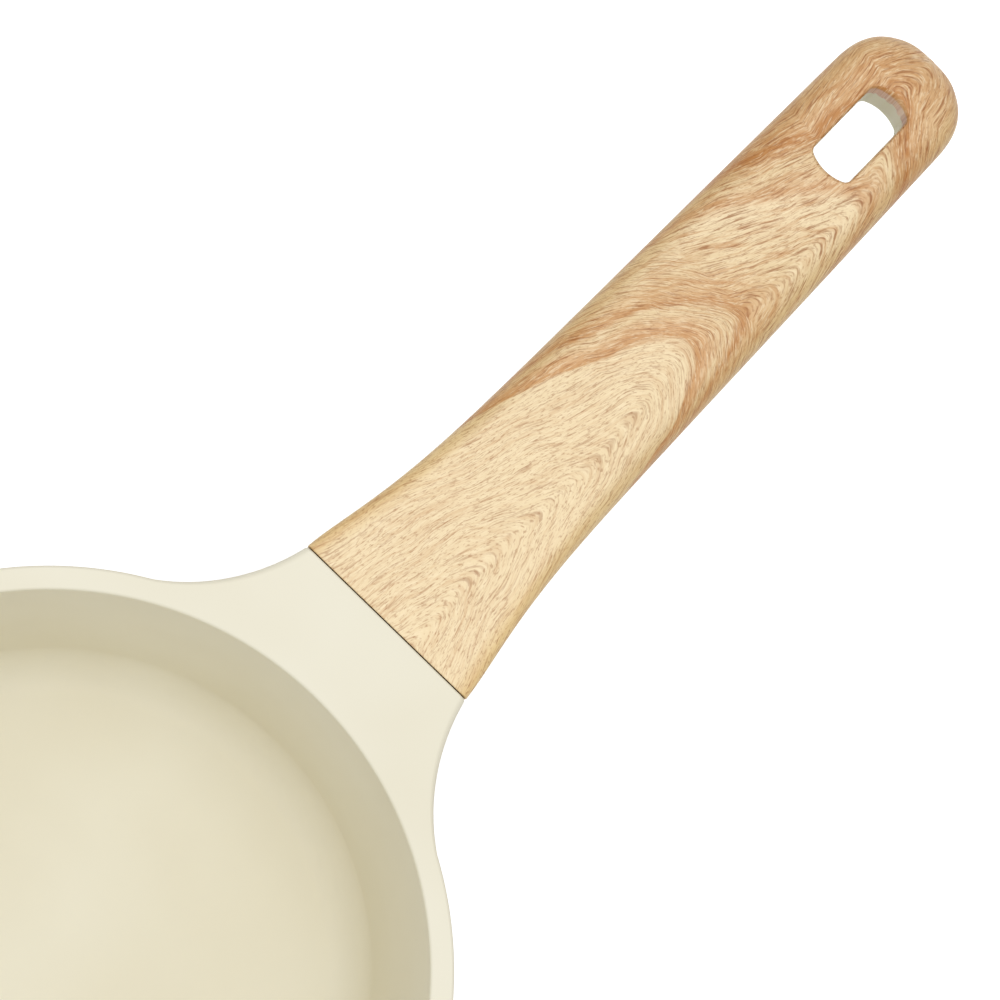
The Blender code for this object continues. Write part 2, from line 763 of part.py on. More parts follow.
def build_rim_band(parts, lid):
    """Sheet-steel channel round the glass flange, with a lip that drops into the pan."""
    sheet = BAND_SHEET
    lip_outer = MOUTH_RADIUS - LIP_CLEARANCE
    outer = LID_BAND_RADIUS
    top = FLANGE_Z + GLASS + GAP + sheet
    leg_end = outer - sheet - BAND_TOP_LEG
    bend = 1.2 * MM
    profile = [
        (leg_end, top),
        *arc((outer - bend, top - bend), bend, 90, 0, 3),
        *arc((outer - bend, SEAT_Z + bend), bend, 0, -90, 3),
        (lip_outer, SEAT_Z),
        (lip_outer, 0.3 * MM),
        (lip_outer - 0.3 * MM, 0.0),
        (lip_outer - sheet, 0.0),
        (lip_outer - sheet, SEAT_Z + sheet),
        (outer - bend, SEAT_Z + sheet),
        (outer - sheet, SEAT_Z + bend),
        (outer - sheet, top - bend),
        (outer - bend, top - sheet),
        (leg_end, top - sheet),
    ]
    band = add_object(
        "lid_rim_band",
        turned("lid_rim_band", profile, LID_SEGMENTS, closed=True),
        parts,
        "stainless_steel",
        lid,
    )
    smooth(band)


def build_vent_eyelet(parts, lid):
    top = GAP + EYELET_FLANGE
    under = -GLASS - GAP - EYELET_FLANGE
    profile = [
        (VENT_BORE_RADIUS, top),
        (EYELET_TOP_RADIUS * 0.7, top),
        (EYELET_TOP_RADIUS, GAP + 0.3 * MM),
        (EYELET_TOP_RADIUS, GAP),
        (EYELET_TUBE_RADIUS, GAP),
        (EYELET_TUBE_RADIUS, -GLASS - GAP),
        (EYELET_UNDER_RADIUS, -GLASS - GAP),
        (EYELET_UNDER_RADIUS * 0.8, under),
        (VENT_BORE_RADIUS, under),
    ]
    eyelet = add_object(
        "vent_eyelet",
        turned("vent_eyelet", profile, 24, closed=True),
        parts,
        "stainless_steel",
        lid,
    )
    eyelet.matrix_local = vent_place()
    smooth(eyelet)


def ring_profile(inner, outer, low, high):
    return [(inner, high), (outer, high), (outer, low), (inner, low)]


def build_knob(parts, cutters, lid):
    """The knob and everything that clamps it to the glass, from the top down."""
    glass_top, glass_under = seat_heights()
    bore = SCREW_RADIUS + GAP
    gasket_low = glass_top + GAP
    plate_low = gasket_low + GASKET_THICKNESS + GAP
    knob_low = plate_low + KNOB_PLATE_THICKNESS + GAP
    under_gasket_high = glass_under - GAP
    under_gasket_low = under_gasket_high - GASKET_THICKNESS
    washer_high = under_gasket_low - GAP
    washer_low = washer_high - UNDER_WASHER_THICKNESS
    head_high = washer_low - GAP
    insert_low = knob_low + INSERT_RECESS
    insert_high = insert_low + INSERT_LENGTH

    def turned_piece(name, profile, finish, segments=KNOB_SEGMENTS, closed=True):
        made = turned(name, profile, segments, closed)
        piece = add_object(name, made, parts, finish, lid)
        smooth(piece)
        return piece

    turned_piece(
        "knob_gasket", ring_profile(bore, GASKET_RADIUS, gasket_low, plate_low - GAP), "silicone"
    )
    plate_top = plate_low + KNOB_PLATE_THICKNESS
    turned_piece(
        "knob_base_plate",
        [
            (bore, plate_top),
            (KNOB_PLATE_RADIUS - 0.8 * MM, plate_top),
            (KNOB_PLATE_RADIUS, plate_top - 0.6 * MM),
            (KNOB_PLATE_RADIUS, plate_low),
            (bore, plate_low),
        ],
        "stainless_steel",
    )
    knob_bore = INSERT_RADIUS + GAP
    bore_top = insert_high + GAP
    turned_piece(
        "knob",
        [
            (0.0, knob_low + KNOB_HEIGHT),
            *knob_outline(knob_low),
            (knob_bore, knob_low),
            (knob_bore, bore_top),
            (0.0, bore_top),
        ],
        "wood_look_phenolic",
        closed=False,
    )
    turned_piece(
        "knob_insert",
        [
            (bore, insert_high),
            (INSERT_RADIUS, insert_high),
            (INSERT_RADIUS, insert_high - INSERT_LENGTH * 0.4),
            (INSERT_RADIUS - 0.6 * MM, insert_high - INSERT_LENGTH * 0.46),
            (INSERT_RADIUS - 0.6 * MM, insert_low + INSERT_LENGTH * 0.46),
            (INSERT_RADIUS, insert_low + INSERT_LENGTH * 0.4),
            (INSERT_RADIUS, insert_low),
            (bore, insert_low),
        ],
        "brass",
        24,
    )
    turned_piece(
        "screw_gasket",
        [
            (bore, glass_top - GAP),
            (SLEEVE_RADIUS, glass_top - GAP),
            (SLEEVE_RADIUS, under_gasket_high),
            (UNDER_GASKET_RADIUS, under_gasket_high),
            (UNDER_GASKET_RADIUS, under_gasket_low),
            (bore, under_gasket_low),
        ],
        "silicone",
        28,
    )
    turned_piece(
        "screw_washer",
        ring_profile(bore, UNDER_WASHER_RADIUS, washer_low, washer_high),
        "stainless_steel",
        28,
    )
    head_low = head_high - SCREW_HEAD_HEIGHT
    shank = insert_high - GAP - head_high
    profile = pan_head_profile(SCREW_HEAD_RADIUS, SCREW_HEAD_HEIGHT, SCREW_RADIUS, shank)
    screw = add_object(
        "knob_screw", turned("knob_screw", profile, 24), parts, "stainless_steel", lid
    )
    screw.location = (0, 0, head_low)
    recess = cross_recess_mesh("knob_recess", 2.6 * MM, 1.4 * MM)
    boolean(screw, add_cutter("cut_knob_recess", recess, cutters, screw))


def knob_outline(low):
    """(r, z) points down the knob's outside, from the crown's edge to its foot."""
    head_z = low + KNOB_HEIGHT
    shoulder = 5.0 * MM
    waist_z = low + KNOB_HEIGHT * 0.3
    points = [(KNOB_HEAD_RADIUS * 0.45, head_z - 0.25 * MM)]
    points += arc(
        (KNOB_HEAD_RADIUS - shoulder, head_z - 1.2 * MM - shoulder), shoulder, 75, -35, 6
    )
    last_r, last_z = points[-1]
    for i in range(1, 6):
        share = i / 5
        r = last_r + (KNOB_WAIST_RADIUS - last_r) * math.sin(math.pi / 2 * share)
        points.append((r, last_z + (waist_z - last_z) * share))
    for i in range(1, 4):
        share = i / 3
        r = KNOB_WAIST_RADIUS + (KNOB_FOOT_RADIUS - KNOB_WAIST_RADIUS) * share**2
        points.append((r, waist_z + (low + 0.6 * MM - waist_z) * share))
    points.append((KNOB_FOOT_RADIUS - 0.4 * MM, low))
    return points


def main():
    clear_scene()
    parts = new_collection("saucepan_with_glass_lid")
    cutters = new_collection("cutters")
    build_pan(parts, cutters)
    build_plate(parts, cutters)
    build_handle(parts, cutters)
    build_handle_screw(parts, cutters)
    lid = bpy.data.objects.new("lid_origin", None)
    parts.objects.link(lid)
    lid.location = (LID_X, 0, 0)
    build_lid_glass(parts, cutters, lid)
    build_rim_band(parts, lid)
    build_vent_eyelet(parts, lid)
    build_knob(parts, cutters, lid)


main()
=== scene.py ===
"""Saucepan with a wood-look handle, and its glass lid beside it: the finished look.

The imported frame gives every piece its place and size. This script models the
visible pieces finely around it, gives each its finish, and sets a plain studio.

Lengths are in metres. +Z is up, +X runs along the handle, and the origin is the
centre of the pan's foot.
"""

import json
import logging
import math
from collections.abc import Callable, Sequence
from dataclasses import dataclass, field
from enum import Enum

import bpy
from mathutils import Matrix, Vector
from mathutils.kdtree import KDTree

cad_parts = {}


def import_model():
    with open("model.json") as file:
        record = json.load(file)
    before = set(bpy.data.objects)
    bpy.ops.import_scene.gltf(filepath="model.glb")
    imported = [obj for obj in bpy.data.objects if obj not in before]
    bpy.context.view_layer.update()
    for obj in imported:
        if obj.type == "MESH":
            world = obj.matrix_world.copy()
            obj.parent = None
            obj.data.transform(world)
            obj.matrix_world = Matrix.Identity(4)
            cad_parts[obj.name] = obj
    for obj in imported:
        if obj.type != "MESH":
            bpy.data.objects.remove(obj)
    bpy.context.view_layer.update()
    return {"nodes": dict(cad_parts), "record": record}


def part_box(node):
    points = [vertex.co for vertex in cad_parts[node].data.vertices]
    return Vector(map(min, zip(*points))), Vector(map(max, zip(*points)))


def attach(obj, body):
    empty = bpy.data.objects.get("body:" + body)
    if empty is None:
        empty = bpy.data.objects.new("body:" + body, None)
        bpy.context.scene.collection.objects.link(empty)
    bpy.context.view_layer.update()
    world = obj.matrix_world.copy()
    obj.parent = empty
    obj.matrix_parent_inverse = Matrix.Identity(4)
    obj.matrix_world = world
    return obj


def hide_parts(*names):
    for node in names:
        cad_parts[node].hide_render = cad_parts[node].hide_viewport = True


LOG = logging.getLogger("saucepan")

MM = 0.001
GAP = 0.3 * MM  # between two pieces that touch

Point2 = tuple[float, float]
Point3 = tuple[float, float, float]

MATHS = "ShaderNodeMath"
VECTOR_MATHS = "ShaderNodeVectorMath"
NOISE = "ShaderNodeTexNoise"
RANGE = "ShaderNodeMapRange"
RAMP = "ShaderNodeValToRGB"
MIX = "ShaderNodeMix"
SEPARATE = "ShaderNodeSeparateXYZ"
COMBINE = "ShaderNodeCombineXYZ"
BUMP = "ShaderNodeBump"
COORDINATES = "ShaderNodeTexCoord"
MAPPING = "ShaderNodeMapping"
UV_MAP = "ShaderNodeUVMap"

NOISE_SPREAD = (0.3, 0.7)  # nearly all of a noise texture lies between these


class Body(Enum):
    """The two bodies that move apart."""

    PAN = "pan"
    LID = "lid"


class Slot(Enum):
    """The record's material slots."""

    CREAM = "cream_coating"
    WOOD = "wood_look_phenolic"
    STEEL = "stainless_steel"
    ZINC = "zinc_plated_steel"
    BRASS = "brass"
    GLASS = "tempered_glass"
    SILICONE = "silicone"


# ------------------------------------------------------------------ plane curves


def smoothstep(share: float) -> float:
    """0 to 1 with level ends, for a share from 0 to 1."""
    share = min(max(share, 0.0), 1.0)
    return share * share * (3 - 2 * share)


def superellipse_fall(share: float, power: float) -> float:
    """A quarter of a superellipse.

    Args:
        share: Place from 0 to 1.
        power: Its power; 2 is a circle.

    Returns:
        1 at share 0, falling to 0 at share 1.
    """
    share = min(max(share, 0.0), 1.0)
    return (1 - share**power) ** (1 / power)


def arc(centre: Point2, radius: float, start: float, end: float, steps: int) -> list[Point2]:
    """Points on a circle in the (r, z) plane.

    Args:
        centre: Middle of the circle.
        radius: Its radius.
        start: First angle in degrees.
        end: Last angle in degrees.
        steps: Number of equal steps between them.

    Returns:
        steps + 1 points.
    """
    angles = [math.radians(start + (end - start) * i / steps) for i in range(steps + 1)]
    return [(centre[0] + radius * math.cos(a), centre[1] + radius * math.sin(a)) for a in angles]


def tangent_angle(centre: Point2, radius: float, point: Point2) -> float:
    """Where a line from a point above touches a circle's outer side.

    Args:
        centre: Middle of the circle.
        radius: Its radius.
        point: The point.

    Returns:
        The angle in degrees.
    """
    across, up = point[0] - centre[0], point[1] - centre[1]
    return math.degrees(math.atan2(up, across) - math.acos(radius / math.hypot(across, up)))


def rounded(corners: Sequence[Point3], closed: bool = True, steps: int = 4) -> list[Point2]:
    """Profile through corners, each rounded to its own radius.

    Args:
        corners: (r, z, radius) of each corner in order; radius 0 keeps it sharp.
        closed: Whether the last corner joins the first, so that the ends are rounded too.
        steps: Number of steps round each corner.

    Returns:
        The profile's (r, z) points.
    """
    points: list[Point2] = []
    count = len(corners)
    for i, (r, z, radius) in enumerate(corners):
        is_end = not closed and i in (0, count - 1)
        if radius <= 0 or is_end:
            points.append((r, z))
            continue
        here = Vector((r, z))
        before = Vector(corners[i - 1][:2]) - here
        after = Vector(corners[(i + 1) % count][:2]) - here
        half = before.angle(after) / 2
        reach = min(radius / math.tan(half), 0.49 * before.length, 0.49 * after.length)
        radius = reach * math.tan(half)
        middle = here + (before.normalized() + after.normalized()).normalized() * (
            radius / math.sin(half)
        )
        first = here + before.normalized() * reach - middle
        last = here + after.normalized() * reach - middle
        swing = first.angle(last)
        for step in range(steps + 1):
            share = step / steps
            spoke = (
                first * math.sin((1 - share) * swing) + last * math.sin(share * swing)
            ) / math.sin(swing)
            points.append(tuple(middle + spoke))
    return points


# --------------------------------------------------------------- the modelling bench


def deselect() -> None:
    """Nothing stays selected."""
    bpy.ops.object.select_all(action="DESELECT")


def started(operator: Callable[..., set[str]], name: str, **sizes: object) -> bpy.types.Object:
    """Adds a primitive by itself.

    Args:
        operator: The primitive's operator.
        name: Name for the object and its mesh.
        **sizes: What the operator takes.

    Returns:
        The new object, selected and active.
    """
    deselect()
    operator(**sizes)
    made = bpy.context.object
    made.name = made.data.name = name
    return made


def only(piece: bpy.types.Object) -> None:
    """Selects one piece and makes it active.

    Args:
        piece: The piece.
    """
    deselect()
    piece.select_set(True)
    bpy.context.view_layer.objects.active = piece


def placed(piece: bpy.types.Object, place: Matrix) -> bpy.types.Object:
    """Moves a piece and writes its place into its mesh.

    Args:
        piece: The piece.
        place: Where it goes.

    Returns:
        The same piece, at the origin.
    """
    only(piece)
    piece.matrix_world = place
    bpy.ops.object.transform_apply(location=True, rotation=True, scale=True)
    return piece


def modified(piece: bpy.types.Object, kind: str, **settings: object) -> bpy.types.Object:
    """Adds a modifier and applies it.

    Args:
        piece: The piece to change.
        kind: The modifier's type.
        **settings: Its properties.

    Returns:
        The same piece.
    """
    only(piece)
    modifier = piece.modifiers.new(kind.lower(), kind)
    for key, value in settings.items():
        setattr(modifier, key, value)
    bpy.ops.object.modifier_apply(modifier=modifier.name)
    return piece


def joined(
    piece: bpy.types.Object, other: bpy.types.Object, operation: str = "DIFFERENCE"
) -> bpy.types.Object:
    """Cuts a piece with another, or adds the other to it, and removes the other.

    Args:
        piece: The piece that stays.
        other: The cutter or the addition.
        operation: The boolean's operation.

    Returns:
        The piece that stays.
    """
    modified(
        piece,
        "BOOLEAN",
        operation=operation,
        object=other,
        solver="EXACT",
        material_mode="TRANSFER",
    )
    bpy.data.objects.remove(other)
    return piece


def smoothed(piece: bpy.types.Object, degrees: float = 35.0) -> bpy.types.Object:
    """Gives a piece smooth shading that keeps its sharp edges.

    Args:
        piece: The piece.
        degrees: The angle from which an edge stays sharp.

    Returns:
        The same piece.
    """
    only(piece)
    bpy.ops.object.shade_smooth_by_angle(angle=math.radians(degrees))
    return piece


def clean_up() -> None:
    """In edit mode: merges doubles and turns all faces outwards."""
    bpy.ops.mesh.select_all(action="SELECT")
    bpy.ops.mesh.remove_doubles(threshold=0.002 * MM)
    bpy.ops.mesh.normals_make_consistent(inside=False)


def turned(
    name: str, profile: Sequence[Point2], closed: bool = True, steps: int = 160
) -> bpy.types.Object:
    """A piece spun about the Z axis from one point that is extruded along its profile.

    Args:
        name: Name of the piece.
        profile: (r, z) points.
        closed: Whether the last point joins the first.
        steps: Steps round the full turn.

    Returns:
        The new piece.
    """
    piece = started(bpy.ops.mesh.primitive_plane_add, name, size=MM)
    bpy.ops.object.mode_set(mode="EDIT")
    bpy.ops.mesh.merge(type="CENTER")
    bpy.ops.transform.translate(value=(profile[0][0], 0, profile[0][1]))
    for (r, z), (next_r, next_z) in zip(profile, profile[1:]):
        bpy.ops.mesh.extrude_vertices_move(
            TRANSFORM_OT_translate={"value": (next_r - r, 0, next_z - z)}
        )
    bpy.ops.object.mode_set(mode="OBJECT")
    if closed:
        ends = {0, len(profile) - 1}
        for vertex in piece.data.vertices:
            vertex.select = vertex.index in ends
        for edge in piece.data.edges:
            edge.select = False
    bpy.ops.object.mode_set(mode="EDIT")
    if closed:
        bpy.ops.mesh.edge_face_add()
    bpy.ops.mesh.select_all(action="SELECT")
    bpy.ops.mesh.spin(steps=steps, angle=math.tau, center=(0, 0, 0), axis=(0, 0, 1))
    clean_up()
    bpy.ops.object.mode_set(mode="OBJECT")
    return piece


def lofted(name: str, rings: Sequence[Sequence[Point3]]) -> bpy.types.Object:
    """A solid through rings of equally many points.

    A circle is extruded once for each ring, and each of its points is then set in place.

    Args:
        name: Name of the piece.
        rings: The rings, in order.

    Returns:
        The new piece. Its vertices keep the rings' order.
    """
    count = len(rings[0])
    piece = started(
        bpy.ops.mesh.primitive_circle_add, name, vertices=count, radius=1, fill_type="NOTHING"
    )
    bpy.ops.object.mode_set(mode="EDIT")
    for _ in rings[1:]:
        bpy.ops.mesh.extrude_edges_move(TRANSFORM_OT_translate={"value": (0, 0, 1)})
    bpy.ops.object.mode_set(mode="OBJECT")
    first = math.pi / 2  # a circle primitive starts on the Y axis
    for vertex in piece.data.vertices:
        level = round(vertex.co.z)
        angle = (first - math.atan2(vertex.co.y, vertex.co.x)) % math.tau
        vertex.co = rings[level][round(angle / math.tau * count) % count]
        vertex.select = False
    bpy.ops.object.mode_set(mode="EDIT")
    bpy.ops.mesh.select_all(action="DESELECT")
    bpy.ops.mesh.select_non_manifold()
    bpy.ops.mesh.edge_face_add()
    clean_up()
    bpy.ops.object.mode_set(mode="OBJECT")
    return piece


def block(name: str, low: Point3, high: Point3) -> bpy.types.Object:
    """A box that is used to cut or to add.

    Args:
        name: Its name.
        low: Its low corner.
        high: Its high corner.

    Returns:
        The box.
    """
    size = Vector(high) - Vector(low)
    middle = (Vector(high) + Vector(low)) / 2
    made = started(bpy.ops.mesh.primitive_cube_add, name, size=1)
    return placed(made, Matrix.Translation(middle) @ Matrix.Diagonal((*size, 1)))


def rod(name: str, radius: float, low: float, high: float, place: Matrix) -> bpy.types.Object:
    """A cylinder that is used to cut.

    Args:
        name: Its name.
        radius: Its radius.
        low: Height of its foot.
        high: Height of its top.
        place: Where the upright cylinder then goes.

    Returns:
        The cylinder.
    """
    made = started(
        bpy.ops.mesh.primitive_cylinder_add, name, vertices=48, radius=radius, depth=high - low
    )
    return placed(made, place @ Matrix.Translation((0, 0, (low + high) / 2)))


def finder(points: Sequence[Sequence[float]]) -> KDTree:
    """Prepares points for finding the nearest one.

    Args:
        points: The points.

    Returns:
        Their tree, which answers with a point's number.
    """
    tree = KDTree(len(points))
    for i, point in enumerate(points):
        tree.insert(point, i)
    tree.balance()
    return tree


# ------------------------------------------------------------------------ finishes


def linear(colour: str) -> tuple[float, float, float, float]:
    """An sRGB hex colour as the linear RGBA values that a shader takes."""
    shares = [int(colour[i : i + 2], 16) / 255 for i in (1, 3, 5)]
    return (*(s / 12.92 if s <= 0.04045 else ((s + 0.055) / 1.055) ** 2.4 for s in shares), 1.0)


def add_node(
    tree: bpy.types.NodeTree,
    kind: str,
    inputs: Sequence[object] | dict[str | int, object] = (),
    stops: Sequence[tuple[float, str]] = (),
    **settings: object,
) -> bpy.types.Node:
    """Adds a node with its settings and links.

    Args:
        tree: The material's node tree.
        kind: The node's type.
        inputs: Its inputs by name or number, or in order: a value, a socket, or a node,
            which stands for its first output.
        stops: Places and hex colours along a colour ramp.
        **settings: The node's properties.

    Returns:
        The new node.
    """
    node = tree.nodes.new(kind)
    for key, value in settings.items():
        setattr(node, key, value)
    pairs = inputs.items() if isinstance(inputs, dict) else enumerate(inputs)
    for key, value in pairs:
        if isinstance(value, bpy.types.Node):
            value = value.outputs[0]
        if isinstance(value, bpy.types.NodeSocket):
            tree.links.new(value, node.inputs[key])
        else:
            node.inputs[key].default_value = value
    for i, (place, colour) in enumerate(stops):
        elements = node.color_ramp.elements
        stop = elements[i] if i < 2 else elements.new(place)
        stop.position, stop.color = place, linear(colour)
    return node


def new_material(name: str) -> tuple[bpy.types.Material, bpy.types.NodeTree, bpy.types.Node]:
    """Starts a node material.

    Args:
        name: Its name.

    Returns:
        The material, its tree and its shader.
    """
    made = bpy.data.materials.new(name)
    made.use_nodes = True
    return made, made.node_tree, made.node_tree.nodes["Principled BSDF"]


def set_inputs(shader: bpy.types.Node, **values: object) -> None:
    """Sets a shader's own sockets; an underscore in a name stands for a space."""
    for key, value in values.items():
        shader.inputs[key.replace("_", " ")].default_value = value


def give_colour(
    tree: bpy.types.NodeTree, shader: bpy.types.Node, share: bpy.types.Node, first: str, last: str
) -> None:
    """Gives a shader a colour that drifts between two.

    Args:
        tree: The material's node tree.
        shader: Its shader.
        share: The pattern that says how much of the last colour there is.
        first: Hex colour where the pattern is 0.
        last: Hex colour where it is 1.
    """
    colour = add_node(
        tree, MIX, {0: share, 6: linear(first), 7: linear(last)}, data_type="RGBA"
    )
    tree.links.new(colour.outputs[2], shader.inputs["Base Color"])


def give_texture(
    tree: bpy.types.NodeTree,
    shader: bpy.types.Node,
    gloss: tuple[bpy.types.Node, float, float],
    relief: tuple[bpy.types.Node, float, float],
) -> None:
    """Gives a shader its uneven roughness and its bump.

    Args:
        tree: The material's node tree.
        shader: Its shader.
        gloss: A noise, and the roughness where it is low and where it is high.
        relief: A noise, and the strength and depth of the bump that it makes.
    """
    noise, smooth, rough = gloss
    height, strength, depth = relief
    roughness = add_node(tree, RANGE, (noise, *NOISE_SPREAD, smooth, rough))
    bump = add_node(tree, BUMP, {"Strength": strength, "Distance": depth, "Height": height})
    tree.links.new(roughness.outputs[0], shader.inputs["Roughness"])
    tree.links.new(bump.outputs[0], shader.inputs["Normal"])


@dataclass(frozen=True)
class CreamCoating:
    """Matt ceramic sol-gel coating, sprayed and baked on cast aluminium.

    The spray leaves a very fine orange peel and soft, broad highlights; the colour
    drifts by about one percent over a hand's width.
    """

    colour: str = "#eae5d1"
    drift_colour: str = "#e7e1cb"
    roughness: float = 0.46
    drift_size: float = 45 * MM
    peel_size: float = 0.6 * MM
    peel_depth: float = 0.006 * MM

    def material(self) -> bpy.types.Material:
        """Builds the finish.

        Returns:
            The node material.
        """
        made, tree, shader = new_material("cream_ceramic_coating")
        place = add_node(tree, COORDINATES).outputs["Object"]
        drift = add_node(tree, NOISE, {"Vector": place, "Scale": 1 / self.drift_size})
        peel = add_node(
            tree, NOISE, {"Vector": place, "Scale": 1 / self.peel_size, "Detail": 1.0}
        )
        share = add_node(tree, RANGE, (drift, 0.35, 0.65, 0.0, 1.0))
        give_colour(tree, shader, share, self.colour, self.drift_colour)
        gloss = (drift, self.roughness - 0.03, self.roughness + 0.03)
        give_texture(tree, shader, gloss, (peel, 0.6, self.peel_depth))
        return made


@dataclass(frozen=True)
class WoodFilm:
    """Printed wood film on a phenolic moulding, under a satin lacquer.

    The print is of plain-sawn ash or beech: a pale heart and nested arches of early
    and late wood round it, with short pores along the grain. The film reads its own
    UV map, in metres along the handle from the pan's axis and round its girth.
    """

    heart: str = "#f3dcb1"
    arch_line: str = "#cf9b63"
    tan: str = "#ead0a2"
    pale: str = "#f3dcb2"
    umber: str = "#c18446"
    pore: str = "#985617"
    fleck: str = "#fce8c0"
    bare: str = "#dcd8b4"
    painted_side_shade: str = "#f1e7cf"  # painted shade: darkens the print round the sides, where the handle turns away from the overhead light
    roughness: float = 0.45
    grain_depth: float = 0.02 * MM
    # The figure, in mm: places along the handle, and what changes between them.
    pressed_grain: Point2 = (0.7, 7.0)  # width and length of a pressed streak
    band_streaks: Point2 = (2.4, 30.0)  # the same for those that fray the bands
    band_reach: float = 6.0
    sways: tuple[Point2, ...] = ((28.0, 7.0), (7.0, 1.1))  # size and reach of each wander
    apex_sides: Point2 = (-7.0, -10.5)  # where the arches peak across the handle
    swing: Point2 = (186.0, 208.0)  # the peak moves aside here
    swing_back: Point2 = (238.0, 256.0)  # and back by the next value here
    returned: float = 11.0
    left_sizes: Point2 = (16.0, 25.0)  # how broadly the arches are rounded on the left
    widening: Point2 = (184.0, 204.0)
    narrowing: Point2 = (234.0, 256.0)
    narrowed_by: float = 11.0
    right_size: float = 8.0
    leg_slopes: Point2 = (3.0, 4.2)  # left and right, along over across
    pore_size: float = 2.5  # the pores run in tighter arches, nearly chevrons
    pore_slopes: Point2 = (3.6, 2.6)
    leaning: Point2 = (170.0, 200.0)
    ring_start: float = 103.0  # the rings between these two take the ramp's colours
    ring_end: float = 303.0
    heart_end: Point2 = (182.0, 194.0)  # beyond the heart, streaks and pores are stronger
    # The print's end in the slot, in metres.
    print_end: float = 7.5 * MM
    ragged_size: float = 2.0 * MM
    ragged_reach: float = 8.0 * MM
    ragged_edge: Point2 = (2.0 * MM, 2.8 * MM)
    slot_ends: Point2 = (0.228, 0.251)

    def material(self, bare_below: Callable[[float], float] | None = None) -> bpy.types.Material:
        """Builds the node material.

        Args:
            bare_below: For the slot's walls: the height of the handle's top at an x.
                The print then ends a few millimetres below that height.

        Returns:
            The material.
        """
        name = "wood_film_on_phenolic" if bare_below is None else "wood_film_edge_in_slot"
        made, tree, shader = new_material(name)
        film = add_node(tree, UV_MAP, uv_map="film")
        rings, lines, spot = self._figure(tree, film)
        colour = self._colour(tree, rings, lines, spot)
        if bare_below is not None:
            colour = self._fade_to_bare(tree, colour, bare_below)
        tree.links.new(colour, shader.inputs["Base Color"])
        grain = self._grain(tree, spot, lines, self.pressed_grain, 3.0)
        gloss = (grain, self.roughness - 0.05, self.roughness + 0.05)
        give_texture(tree, shader, gloss, (grain, 0.25, self.grain_depth))
        return made

    def _figure(
        self, tree: bpy.types.NodeTree, film: bpy.types.Node
    ) -> tuple[bpy.types.Node, bpy.types.Node, bpy.types.Node]:
        """The growth rings, whose level lines are the arches, and the run of the pores.

        Args:
            tree: The material's node tree.
            film: The UV node.

        Returns:
            The rings, the value that the pores run level with, and the warped place on
            the film, all in millimetres.
        """
        place = add_node(tree, VECTOR_MATHS, (film, (1 / MM,) * 3), operation="MULTIPLY")
        for size, reach in self.sways:
            sway = add_node(
                tree, NOISE, {"Vector": place, "Scale": 1 / size, "Detail": 1.0}
            ).outputs["Color"]
            shift = add_node(
                tree,
                VECTOR_MATHS,
                (sway, (reach, reach, 0.0), (-reach / 2, -reach / 2, 0.0)),
                operation="MULTIPLY_ADD",
            )
            place = add_node(tree, VECTOR_MATHS, (place, shift), operation="ADD")
        parts = add_node(tree, SEPARATE, (place,))
        along, across = parts.outputs[0], parts.outputs[1]
        swung = add_node(tree, RANGE, (along, *self.swing, *self.apex_sides))
        back = add_node(tree, RANGE, (along, *self.swing_back, 0.0, self.returned))
        apex = add_node(tree, MATHS, (swung, back), operation="ADD")
        away = add_node(tree, MATHS, (across, apex), operation="SUBTRACT")
        right = add_node(tree, MATHS, (away, 0.0), operation="LESS_THAN")
        widened = add_node(tree, RANGE, (along, *self.widening, *self.left_sizes))
        narrowed = add_node(tree, RANGE, (along, *self.narrowing, 0.0, self.narrowed_by))
        left_size = add_node(tree, MATHS, (widened, narrowed), operation="SUBTRACT")
        size = add_node(tree, MIX, {0: right, 2: left_size, 3: self.right_size})
        slope = add_node(tree, MIX, {0: right, 2: self.leg_slopes[0], 3: self.leg_slopes[1]})
        rings = self._arches(tree, along, away, size, slope)
        leaned = add_node(tree, RANGE, (along, *self.leaning, *self.pore_slopes))
        chevrons = self._arches(tree, along, away, self.pore_size, leaned)
        lines = add_node(tree, MATHS, (chevrons, leaned), operation="DIVIDE")
        return rings, lines, place

    def _arches(
        self,
        tree: bpy.types.NodeTree,
        along: bpy.types.NodeSocket,
        away: bpy.types.Node,
        size: bpy.types.Node | float,
        slope: bpy.types.Node | float,
    ) -> bpy.types.Node:
        """A value whose level lines are hyperbolas that peak along the handle.

        Args:
            tree: The material's node tree.
            along: Place along the handle, in mm.
            away: Distance across from the peak, in mm.
            size: How broadly the peak is rounded, in mm.
            slope: How steeply the legs run, along over across.

        Returns:
            The value, in mm along the handle.
        """
        share = add_node(tree, MATHS, (away, size), operation="DIVIDE")
        square = add_node(tree, MATHS, (share, share, 1.0), operation="MULTIPLY_ADD")
        root = add_node(tree, MATHS, (square,), operation="SQRT")
        bend = add_node(tree, MATHS, (root, 1.0), operation="SUBTRACT")
        fall = add_node(tree, MATHS, (slope, size), operation="MULTIPLY")
        return add_node(tree, MATHS, (fall, bend, along), operation="MULTIPLY_ADD")

